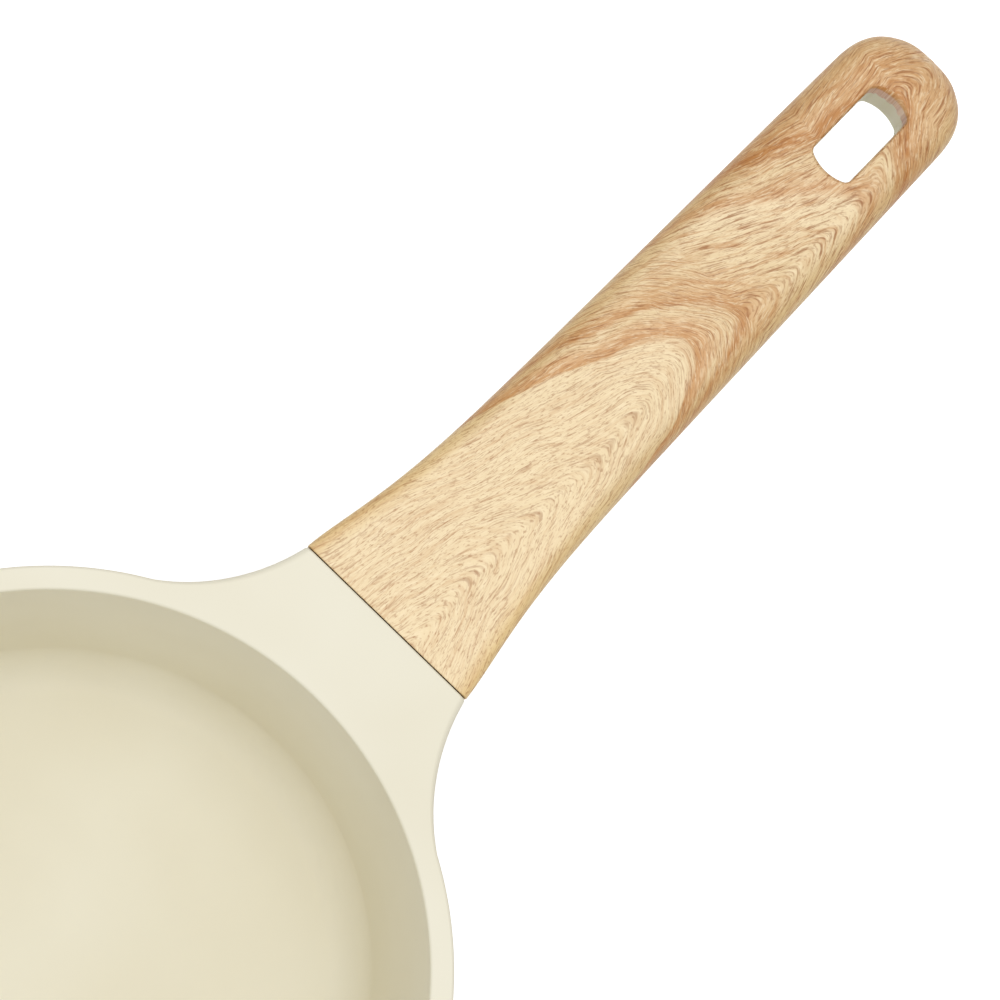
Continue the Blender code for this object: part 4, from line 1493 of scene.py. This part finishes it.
@dataclass
class Handle:
    """The moulded grip with its hanging slot, and the screw that holds it to the tang."""

    lines: HandleLines
    pan: Pan
    counterbore_radius: float = 5.3 * MM
    counterbore_depth: float = 3.9 * MM
    slot_from_tip: float = 23.4 * MM
    slot_half_length: float = 10.4 * MM
    slot_half_width: float = 5.2 * MM
    slot_end_radius: float = 10.4 * MM
    slot_corner: float = 1.7 * MM
    slot_edge: float = 1.7 * MM
    shade_full_inset: float = 1.0 * MM  # painted side shade is full this far in from the outline
    shade_fade_width: float = 3.6 * MM  # over which the painted side shade fades out towards the top
    broken_edge: float = 0.2 * MM
    grip_steps: int = 84
    grip_crowding: float = 1.15  # stations stand closer towards the joint
    tip_steps: int = 24
    tip_sweep: float = 88.5  # degrees of the rounded tip before its flat end
    cut_past: float = 8.0 * MM  # how far cutters reach out of the underside
    mouth_past: float = 4.0 * MM  # and the slot's cutter out of both faces

    def build(self, finishes: Finishes) -> None:
        """Builds and dresses the grip and its screw.

        Args:
            finishes: The finishes, for the wood film and the zinc plate.
        """
        dressed(self._grip(finishes), finishes.wood, Body.PAN, Slot.WOOD, "handle_grip")
        seat = self._seat()
        head = seat - self.counterbore_depth
        tip = self.pan.tang_middle() - self.pan.tang_thickness / 2 + self.pan.screw_bite - GAP
        screw = Screw()
        piece = screw.build(
            "tang_screw",
            tip - head - screw.head_height,
            Matrix.Translation((self.pan.screw_x, 0, head)),
        )
        dressed(piece, finishes.zinc, Body.PAN, Slot.ZINC, "handle_screw")

    def _seat(self) -> float:
        """Height of the counterbore's floor."""
        x = self.pan.screw_x
        return self.lines.top(x) - self.lines.thickness(x) + self.counterbore_depth

    def _stations(self) -> list[float]:
        """Places along the handle at which its section is drawn.

        Returns:
            Their x, from the joint to the tip, closer where the handle curves.
        """
        lines, steps = self.lines, self.grip_steps
        start, straight_end = lines.joint_x + GAP, lines.tip_x - lines.tip_round
        length = straight_end - start
        stations = [start, start + self.broken_edge]
        stations += [start + length * (i / steps) ** self.grip_crowding for i in range(2, steps)]
        for i in range(self.tip_steps + 1):
            angle = math.radians(self.tip_sweep * i / self.tip_steps)
            stations.append(straight_end + lines.tip_round * math.sin(angle))
        return stations

    def _grip(self, finishes: Finishes) -> bpy.types.Object:
        """The grip, with its slot, socket and screw hole cut.

        Args:
            finishes: The finishes, for the wood film.

        Returns:
            The new piece.
        """
        rings = []
        for i, x in enumerate(self._stations()):
            inset = self.broken_edge if i == 0 else 0.0
            rings.append(self.lines.section(x, self.lines.grip_half_width_at(x), inset))
        grip = lofted("grip_moulding", rings)
        self._lay_film(grip, rings)
        grip.data.materials.append(finishes.wood)
        joined(grip, self._slot_cutter())
        at_screw = Matrix.Translation((self.pan.screw_x, 0, 0))
        seat, bore = self._seat(), self.pan.screw_hole_radius
        low = seat - self.cut_past
        cutters = (
            block("socket", *self.pan.tang_box(GAP)),
            rod("screw_hole", bore, low, self.pan.tang_middle(), at_screw),
            rod("counterbore", self.counterbore_radius, low, seat, at_screw),
        )
        for cutter in cutters:
            cutter.data.materials.append(finishes.wood)
            joined(grip, cutter)
        smoothed(grip, 40)
        return modified(grip, "WEIGHTED_NORMAL", keep_sharp=True, weight=60)

    def _lay_film(self, grip: bpy.types.Object, rings: Sequence[Sequence[Point3]]) -> None:
        """Writes the film's map: the way along the handle's top, and round its girth.

        A second map says how much painted shade the print takes, from 0 on top to 1 at the sides,
        where the handle turns away from the light.

        Args:
            grip: The grip before it is cut.
            rings: Its rings.
        """
        count = len(rings[0])
        bottom = count // 2
        along = [rings[0][0][0]]
        for near, far in zip(rings, rings[1:]):
            along.append(along[-1] + (Vector(far[0]) - Vector(near[0])).length)
        nearest = finder([point for ring in rings for point in ring])
        girths, side_shade_shares = [], []
        for ring in rings:
            girth = [0.0]
            for near, far in zip(ring[:bottom], ring[1:]):
                girth.append(girth[-1] + (Vector(far) - Vector(near)).length)
            girths.append(girth)
            sides = [abs(point[1]) for point in ring[: bottom + 1]]
            widest = sides.index(max(sides))
            # painted side shade: full near the widest point, fading out towards the top
            ways_in = (sides[widest] - side - self.shade_full_inset for side in sides[:widest])
            ring_shade_shares = [1 - smoothstep(way / self.shade_fade_width) for way in ways_in]
            side_shade_shares.append(ring_shade_shares + [1.0] * (len(sides) - widest))
        film = grip.data.uv_layers.new(name="film")
        # the second map carries the painted side shade
        stretch = grip.data.uv_layers.new(name="stretch")
        for face in grip.data.polygons:
            side = 1 if face.center.y >= 0 else -1
            for loop in face.loop_indices:
                found = nearest.find(grip.data.vertices[grip.data.loops[loop].vertex_index].co)[1]
                ring, i = divmod(found, count)
                film.data[loop].uv = (along[ring], side * girths[ring][min(i, count - i)])
                stretch.data[loop].uv = (side_shade_shares[ring][min(i, count - i)], 0.0)

    def _slot_outline(self, grown: float) -> list[Point2]:
        """The slot's outline, with straight sides and bowed ends.

        Args:
            grown: How far it is grown all round.

        Returns:
            Its points about its own centre.
        """
        bow_centre = self.slot_half_length - self.slot_end_radius
        side = self.slot_half_width - self.slot_corner
        reach = math.sqrt((self.slot_end_radius - self.slot_corner) ** 2 - side**2)
        turned_in = math.degrees(math.atan2(side, reach))
        bow = arc((bow_centre, 0.0), self.slot_end_radius + grown, 0.0, turned_in, 12)
        corner = arc((bow_centre + reach, side), self.slot_corner + grown, turned_in, 90.0, 10)
        points = bow[:-1] + corner
        points += [(-x, y) for x, y in reversed(points)]
        return points + [(-x, -y) for x, y in points[1:-1]]

    def _slot_cutter(self) -> bpy.types.Object:
        """The slot's opening, flared at both mouths, with the film's edge drawn into it.

        Returns:
            The cutter, with its own material and map, which the cut keeps.
        """
        lines, edge = self.lines, self.slot_edge
        x0 = lines.tip_x - self.slot_from_tip
        top = lines.top(x0) + lines.crown
        under = lines.top(x0) - lines.thickness(x0)
        slope = (lines.top(x0 + MM) - lines.top(x0 - MM)) / (2 * MM)
        quarter = [math.radians(90 * i / 8) for i in range(9)]
        flare = [(edge * (1 - math.cos(a)), edge * (1 - math.sin(a))) for a in quarter]
        levels = [(top + self.mouth_past, edge)]
        levels += [(top - sunk, grown) for sunk, grown in flare]
        levels += [(under + sunk, grown) for sunk, grown in reversed(flare)]
        levels.append((under - self.mouth_past, edge))
        rings = [
            [(x0 + x, y, z + slope * x) for x, y in self._slot_outline(grown)]
            for z, grown in levels
        ]
        cutter = lofted("slot_cutter", rings)
        film = cutter.data.uv_layers.new(name="film")
        for loop in cutter.data.loops:
            place = cutter.data.vertices[loop.vertex_index].co
            film.data[loop.index].uv = (place.x, place.y)
        cutter.data.materials.append(WoodFilm().material(bare_below=lines.top))
        return cutter


# ----------------------------------------------------------------------------- lid


@dataclass
class Lid:
    """Glass dome in a rolled steel band, with its steam vent."""

    centre_x: float
    glass_radius: float
    lip_depth: float
    mouth_radius: float = 79.3 * MM
    glass: float = 4.0 * MM
    flange_inner_radius: float = 76.5 * MM
    dome_rise: float = 20.0 * MM
    dome_knuckle: float = 8.0 * MM
    knob_seat_radius: float = 16.5 * MM
    band_sheet: float = 0.6 * MM
    band_top_leg: float = 4.5 * MM
    lip_clearance: float = 0.8 * MM
    hole_radius: float = 4.4 * MM
    vent_radius: float = 48.0 * MM
    vent_bore: float = 1.6 * MM
    tube_radius: float = 3.9 * MM
    eyelet_radii: Point2 = (6.2 * MM, 5.4 * MM)
    eyelet_flange: float = 0.8 * MM

    @property
    def place(self) -> Matrix:
        """The lid's axis."""
        return Matrix.Translation((self.centre_x, 0, 0))

    @property
    def flange_z(self) -> float:
        """Height of the underside of the glass flange."""
        return self.lip_depth + self.band_sheet + GAP

    def build(self, finishes: Finishes) -> None:
        """Builds and dresses the glass, the band and the vent.

        Args:
            finishes: The finishes, for the glass.
        """
        dressed(self._glass(), finishes.glass, Body.LID, Slot.GLASS, "lid_glass")
        centre = (self.centre_x, 0.0, 0.0)
        band_steel = BrushedSteel("rolled_stainless_band", centre, roughness=0.2).material()
        dressed(self._band(), band_steel, Body.LID, Slot.STEEL, "lid_rim_band")
        spot = tuple(self.place @ self._vent_place().translation)
        eyelet_steel = BrushedSteel("pressed_stainless_eyelet", spot, roughness=0.24).material()
        dressed(self._eyelet(), eyelet_steel, Body.LID, Slot.STEEL, "vent_eyelet")

    def crown_radius(self) -> float:
        """Outer radius of the dome's crown, tangent to the knuckle above the flange."""
        reach, rise, knuckle = self.flange_inner_radius, self.dome_rise, self.dome_knuckle
        return (reach**2 + rise**2 - 2 * rise * knuckle) / (2 * rise)

    def face(self, inset: float) -> list[Point2]:
        """(r, z) points down one face of the glass, from the knob's seat to the flange.

        Args:
            inset: 0 for the upper face, the glass's thickness for the lower one.

        Returns:
            The points, without the flange's edge.
        """
        flange_top = self.flange_z + self.glass
        crown = self.crown_radius()
        crown_z = flange_top + self.dome_rise - crown
        knuckle = (self.flange_inner_radius, flange_top + self.dome_knuckle)
        leave = math.degrees(math.atan2(knuckle[1] - crown_z, knuckle[0]))
        start = math.degrees(math.acos(self.knob_seat_radius / crown))
        seat_z = crown_z + math.sqrt(crown**2 - self.knob_seat_radius**2) - inset
        points = [(self.knob_seat_radius - 0.5 * MM, seat_z)]
        for r, z in arc((0.0, crown_z), crown - inset, start, leave, 30):
            if r > self.knob_seat_radius - 0.4 * MM:
                points.append((r, min(z, seat_z)))
        return points + arc(knuckle, self.dome_knuckle + inset, leave - 180, -90, 10)[1:]

    def seat_heights(self) -> Point2:
        """Upper and lower face of the glass under the knob."""
        return self.face(0.0)[0][1], self.face(self.glass)[0][1]

    def _vent_place(self) -> Matrix:
        """Where the vent stands on the crown.

        Returns:
            Its frame on the upper face, about the lid's own axis.
        """
        crown = self.crown_radius()
        tilt = math.asin(self.vent_radius / crown)
        centre_z = self.flange_z + self.glass + self.dome_rise - crown
        return (
            Matrix.Translation((0, 0, centre_z))
            @ Matrix.Rotation(-tilt, 4, "Y")
            @ Matrix.Translation((0, 0, crown))
        )

    def _glass(self) -> bpy.types.Object:
        """The pressed dome with ground, rounded edges.

        Returns:
            The new piece.
        """
        upper, lower = self.face(0.0), self.face(self.glass)
        top, under = self.seat_heights()
        flange_top = self.flange_z + self.glass
        rim = rounded(
            (
                (*upper[-1], 0),
                (self.glass_radius, flange_top, 1.4 * MM),
                (self.glass_radius, self.flange_z, 1.4 * MM),
                (*lower[-1], 0),
            ),
            closed=False,
            steps=6,
        )
        hole = rounded(
            (
                (*lower[0], 0),
                (self.hole_radius, under, 0.5 * MM),
                (self.hole_radius, top, 0.5 * MM),
                (*upper[0], 0),
            ),
            closed=False,
        )
        profile = [*upper, *rim[1:-1], *reversed(lower), *hole[1:-1]]
        glass = turned("glass_dome", profile, steps=192)
        bore = self.tube_radius + GAP
        vent = rod("vent_hole", bore, -4 * self.glass, 2 * self.glass, self._vent_place())
        joined(glass, vent)
        smoothed(glass, 40)
        return placed(glass, self.place)

    def _band(self) -> bpy.types.Object:
        """The rolled channel round the flange, with a folded lip below.

        Returns:
            The new piece.
        """
        sheet = self.band_sheet
        lip = self.mouth_radius - self.lip_clearance
        outer = self.glass_radius + GAP + sheet
        seat = self.lip_depth
        top = self.flange_z + self.glass + GAP + sheet
        leg = outer - sheet - self.band_top_leg
        hem, bend = 0.29 * MM, 1.2 * MM
        corners = (
            (leg, top, hem),
            (outer, top, bend),
            (outer, seat, bend),
            (lip, seat, 0.3 * MM),
            (lip, 0, hem),
            (lip - sheet, 0, hem),
            (lip - sheet, seat + sheet, 0.8 * MM),
            (outer - sheet, seat + sheet, bend - sheet),
            (outer - sheet, top - sheet, bend - sheet),
            (leg, top - sheet, hem),
        )
        band = turned("rolled_band", rounded(corners, steps=5), steps=192)
        smoothed(band, 50)
        return placed(band, self.place)

    def _eyelet(self) -> bpy.types.Object:
        """The vent: a tube with a domed flange above and a rolled one below.

        Returns:
            The new piece.
        """
        bore, tube = self.vent_bore, self.tube_radius
        high, low = GAP + self.eyelet_flange, -self.glass - GAP - self.eyelet_flange
        above, below = self.eyelet_radii
        corners = (
            (bore, high, 0.5 * MM),
            (above * 0.7, high, 0.6 * MM),
            (above, GAP + 0.3 * MM, 0.25 * MM),
            (above, GAP, 0.1 * MM),
            (tube, GAP, 0.05 * MM),
            (tube, -self.glass - GAP, 0.05 * MM),
            (below, -self.glass - GAP, 0.2 * MM),
            (below * 0.8, low, 0.3 * MM),
            (bore, low, 0.3 * MM),
        )
        eyelet = turned("steam_eyelet", rounded(corners, steps=5), steps=72)
        smoothed(eyelet, 50)
        return placed(eyelet, self.place @ self._vent_place())


@dataclass
class KnobStack:
    """The knob and everything that clamps it to the glass, from the top down."""

    lid: Lid
    height: float = 27.0 * MM
    foot_radius: float = 12.5 * MM
    waist_radius: float = 10.5 * MM
    head_radius: float = 20.0 * MM
    shoulder: float = 5.0 * MM
    shoulder_drop: float = 1.2 * MM
    crown_share: float = 0.45  # the nearly flat middle's share of the head
    crown_fall: float = 0.25 * MM
    waist_share: float = 0.3
    foot_edge: Point2 = (0.6 * MM, 0.4 * MM)
    plate_radius: float = 15.0 * MM
    plate_thickness: float = 1.2 * MM
    gasket_radius: float = 14.0 * MM
    gasket_thickness: float = 1.5 * MM
    under_gasket_radius: float = 9.0 * MM
    washer_radius: float = 8.0 * MM
    washer_thickness: float = 1.0 * MM
    sleeve_radius: float = 4.1 * MM
    bore: float = 2.75 * MM
    insert_radius: float = 4.2 * MM
    insert_length: float = 12.0 * MM
    insert_recess: float = 0.9 * MM
    film_centre: Point2 = (150.0 * MM, 2.0 * MM)  # the part of the print that lies on the knob

    def build(self, finishes: Finishes) -> None:
        """Builds and dresses the knob, plate, gaskets, washer and screw.

        Args:
            finishes: The finishes, for the wood film and the silicone.
        """
        glass_top, glass_under = self.lid.seat_heights()
        gasket = glass_top + GAP
        plate = gasket + self.gasket_thickness + GAP
        plate_top = plate + self.plate_thickness
        knob = plate_top + GAP
        under_gasket = glass_under - GAP
        washer = under_gasket - self.gasket_thickness - GAP
        washer_under = washer - self.washer_thickness
        head = washer_under - GAP
        insert_top = knob + self.insert_recess + self.insert_length
        steel = BrushedSteel("pressed_stainless_plate", (self.lid.centre_x, 0.0, 0.0)).material()
        sleeved = (
            (self.bore, glass_top - GAP, 0.3 * MM),
            (self.sleeve_radius, glass_top - GAP, 0.4 * MM),
            (self.sleeve_radius, under_gasket, 0.1 * MM),
            (self.under_gasket_radius, under_gasket, 0.5 * MM),
            (self.under_gasket_radius, under_gasket - self.gasket_thickness, 0.5 * MM),
            (self.bore, under_gasket - self.gasket_thickness, 0.3 * MM),
        )
        rings = (  # name, corners, finish, slot, node
            (
                "knob_plate",
                self._plain(self.plate_radius, plate_top, plate, (0.15, 0.9, 0.15, 0.15)),
                steel, Slot.STEEL, "knob_base_plate",
            ),
            (
                "knob_washer_of_silicone",
                self._plain(self.gasket_radius, plate - GAP, gasket, (0.3, 0.5, 0.5, 0.3)),
                finishes.silicone, Slot.SILICONE, "knob_gasket",
            ),
            (
                "sleeved_washer_of_silicone", sleeved,
                finishes.silicone, Slot.SILICONE, "screw_gasket",
            ),
            (
                "stamped_washer",
                self._plain(self.washer_radius, washer, washer_under, (0.1, 0.3, 0.1, 0.1)),
                steel, Slot.STEEL, "screw_washer",
            ),
        )
        whole = self._knob(knob, insert_top + GAP)
        dressed(whole, finishes.wood, Body.LID, Slot.WOOD, "knob")
        for name, corners, finish, slot, node in rings:
            dressed(self._ring(name, corners), finish, Body.LID, slot, node)
        screw = Screw()
        piece = screw.build(
            "stainless_knob_screw",
            insert_top - GAP - head,
            self.lid.place @ Matrix.Translation((0, 0, head - screw.head_height)),
        )
        dressed(piece, steel, Body.LID, Slot.STEEL, "knob_screw")

    def _plain(
        self, radius: float, high: float, low: float, rounds: Sequence[float]
    ) -> list[Point3]:
        """Corners of a plain ring round the screw.

        Args:
            radius: Its outer radius.
            high: Height of its upper face.
            low: Height of its lower face.
            rounds: How much each corner is rounded, in mm.

        Returns:
            The corners, from the bore's top outwards and back.
        """
        places = ((self.bore, high), (radius, high), (radius, low), (self.bore, low))
        return [(*place, size * MM) for place, size in zip(places, rounds)]

    def _ring(self, name: str, corners: Sequence[Point3]) -> bpy.types.Object:
        """A turned ring with rounded corners, on the lid's axis.

        Args:
            name: Name of the piece.
            corners: Its corners, as for a rounded profile.

        Returns:
            The new piece.
        """
        ring = turned(name, rounded(corners), steps=96)
        smoothed(ring, 50)
        return placed(ring, self.lid.place)

    def _outline(self, low: float) -> list[Point2]:
        """The knob's outside.

        Args:
            low: Height of its foot.

        Returns:
            (r, z) points from the crown down to the foot.
        """
        top = low + self.height
        waist_z = low + self.height * self.waist_share
        points = [
            (self.crown_share * self.head_radius * i / 6, top - self.crown_fall * (i / 6) ** 2)
            for i in range(7)
        ]
        middle = (self.head_radius - self.shoulder, top - self.shoulder_drop - self.shoulder)
        points += arc(middle, self.shoulder, 75, -35, 20)
        last_r, last_z = points[-1]
        for i in range(1, 17):
            share = i / 16
            r = last_r + (self.waist_radius - last_r) * math.sin(math.pi / 2 * share)
            points.append((r, last_z + (waist_z - last_z) * share))
        foot_round, foot_inset = self.foot_edge
        for i in range(1, 9):
            share = i / 8
            r = self.waist_radius + (self.foot_radius - self.waist_radius) * share**2
            points.append((r, waist_z + (low + foot_round - waist_z) * share))
        return [*points, (self.foot_radius - foot_inset, low)]

    def _knob(self, low: float, bore_top: float) -> bpy.types.Object:
        """The knob, with the film laid outwards from its crown.

        Args:
            low: Height of its foot.
            bore_top: Height of the top of the insert's hole.

        Returns:
            The new piece.
        """
        bore = self.insert_radius + GAP
        profile = [*self._outline(low), (bore, low), (bore, bore_top), (0.0, bore_top)]
        knob = turned("turned_knob", profile, closed=False, steps=128)
        reaches = [0.0]
        for near, far in zip(profile, profile[1:]):
            reaches.append(reaches[-1] + math.dist(near, far))
        nearest = finder([(r, 0.0, z) for r, z in profile])
        film = knob.data.uv_layers.new(name="film")
        for face in knob.data.polygons:
            for loop in face.loop_indices:
                place = knob.data.vertices[knob.data.loops[loop].vertex_index].co
                across = math.hypot(place.x, place.y)
                out = reaches[nearest.find((across, 0.0, place.z))[1]]
                direction = place if across > 0.01 * MM else face.center
                turn = math.atan2(direction.y, direction.x)
                film.data[loop].uv = (
                    self.film_centre[0] + out * math.cos(turn),
                    self.film_centre[1] + out * math.sin(turn),
                )
        smoothed(knob, 35)
        return placed(knob, self.lid.place)


# -------------------------------------------------------------------------- studio


@dataclass
class Studio:
    """A white sweep under one broad overhead light, and the camera above the pan."""

    eye: Point3 = (0.0066, 0.0, 1.178)
    aim: Point3 = (0.1362, 0.0009, 0.078)
    up: Point3 = (0.71253, 0.69653, 0.08455)
    lens: float = 189.94
    light_x: float = 0.05
    light_height: float = 1.9
    light_size: float = 1.6
    light_power: float = 11.5
    zenith: float = 0.89
    horizon: float = 0.46
    floor_radius: float = 6.0
    floor_glow: float = 0.5

    def build(self) -> None:
        """Builds the floor, the lights and the camera."""
        self._floor()
        self._light()
        self._sky()
        self._camera()

    def _floor(self) -> None:
        """A pale floor; its glow lifts it to plain white and leaves the contact shadow."""
        floor = started(
            bpy.ops.mesh.primitive_circle_add,
            "studio_floor",
            vertices=128,
            radius=self.floor_radius,
            fill_type="NGON",
        )
        made, tree, shader = new_material("matt_white_sweep")
        place = add_node(tree, COORDINATES).outputs["Object"]
        cloud = add_node(tree, NOISE, {"Vector": place, "Scale": 2.0})
        give_colour(tree, shader, cloud, "#f6f6f6", "#f3f3f3")
        set_inputs(
            shader,
            Roughness=0.9,
            Emission_Color=linear("#ffffff"),
            Emission_Strength=self.floor_glow,
        )
        floor.data.materials.append(made)
        floor.visible_diffuse = False

    def _light(self) -> None:
        """The broad soft box above the pan."""
        lamp = bpy.data.lights.new("overhead_softbox", "AREA")
        lamp.shape, lamp.size, lamp.energy = "SQUARE", self.light_size, self.light_power
        held = bpy.data.objects.new("overhead_softbox", lamp)
        held.location = (self.light_x, 0.0, self.light_height)
        bpy.context.scene.collection.objects.link(held)

    def _sky(self) -> None:
        """Soft light that weakens from overhead to the horizon, and a plain white room."""
        world = bpy.data.worlds.new("white_room")
        world.use_nodes = True
        tree = world.node_tree
        direction = add_node(tree, COORDINATES).outputs["Generated"]
        up = add_node(tree, SEPARATE, (direction,)).outputs[2]
        glow = add_node(tree, RANGE, (up, 0.0, 1.0, self.horizon, self.zenith))
        seen = add_node(tree, "ShaderNodeLightPath").outputs["Is Camera Ray"]
        strength = add_node(tree, RANGE, (seen, 0.0, 1.0, glow, 1.0))
        background = tree.nodes["Background"]
        background.inputs["Color"].default_value = (1.0, 1.0, 1.0, 1.0)
        tree.links.new(strength.outputs[0], background.inputs["Strength"])
        bpy.context.scene.world = world
        bpy.context.scene.view_settings.view_transform = "Standard"

    def _camera(self) -> None:
        """The camera over the pan's axis, turned so that the handle runs up to the right."""
        back = (Vector(self.eye) - Vector(self.aim)).normalized()
        right = Vector(self.up).cross(back).normalized()
        rows = (right, back.cross(right), back)
        turn = Matrix([[row[i] for row in rows] for i in range(3)]).to_4x4()
        camera = bpy.data.objects.new("camera", bpy.data.cameras.new("camera"))
        camera.matrix_world = Matrix.Translation(self.eye) @ turn
        camera.data.lens = self.lens
        bpy.context.scene.collection.objects.link(camera)
        bpy.context.scene.camera = camera


def measured(length: float) -> float:
    """A length read from the frame, to the nearest micrometre."""
    return round(length, 6)


def middle_x(node: str) -> float:
    """The x of the middle of one of the frame's nodes."""
    low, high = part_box(node)
    return measured((low.x + high.x) / 2)


def main() -> None:
    """Builds every piece around the frame and sets the studio."""
    logging.basicConfig(level=logging.INFO, format="%(name)s: %(message)s")
    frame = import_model()
    finishes = Finishes()
    heights = {mount["name"]: mount["pos_m"][2] for mount in frame["record"]["mounts"]}
    casting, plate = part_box("pan_body"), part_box("induction_plate")
    lines = HandleLines(
        pan_height=heights["rim_seat"],
        rim_radius=measured(casting[1].y),
        joint_x=measured(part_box("handle_grip")[0].x - GAP),
    )
    pan = Pan(
        lines,
        base_z=measured(casting[0].z),
        plate_radius=measured(plate[1].x),
        plate_thickness=measured(plate[1].z),
        screw_x=middle_x("handle_screw"),
    )
    lid = Lid(
        centre_x=middle_x("lid_rim_band"),
        glass_radius=measured(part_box("lid_glass")[1].y),
        lip_depth=heights["lid_seat"],
    )
    pan.build(finishes)
    Handle(lines, pan).build(finishes)
    lid.build(finishes)
    KnobStack(lid).build(finishes)
    for node, finish in (("handle_spring_washer", finishes.zinc), ("knob_insert", finishes.brass)):
        kept = frame["nodes"][node].data.materials
        kept.clear()
        kept.append(finish)
    Studio().build()


if __name__ == "__main__":
    main()
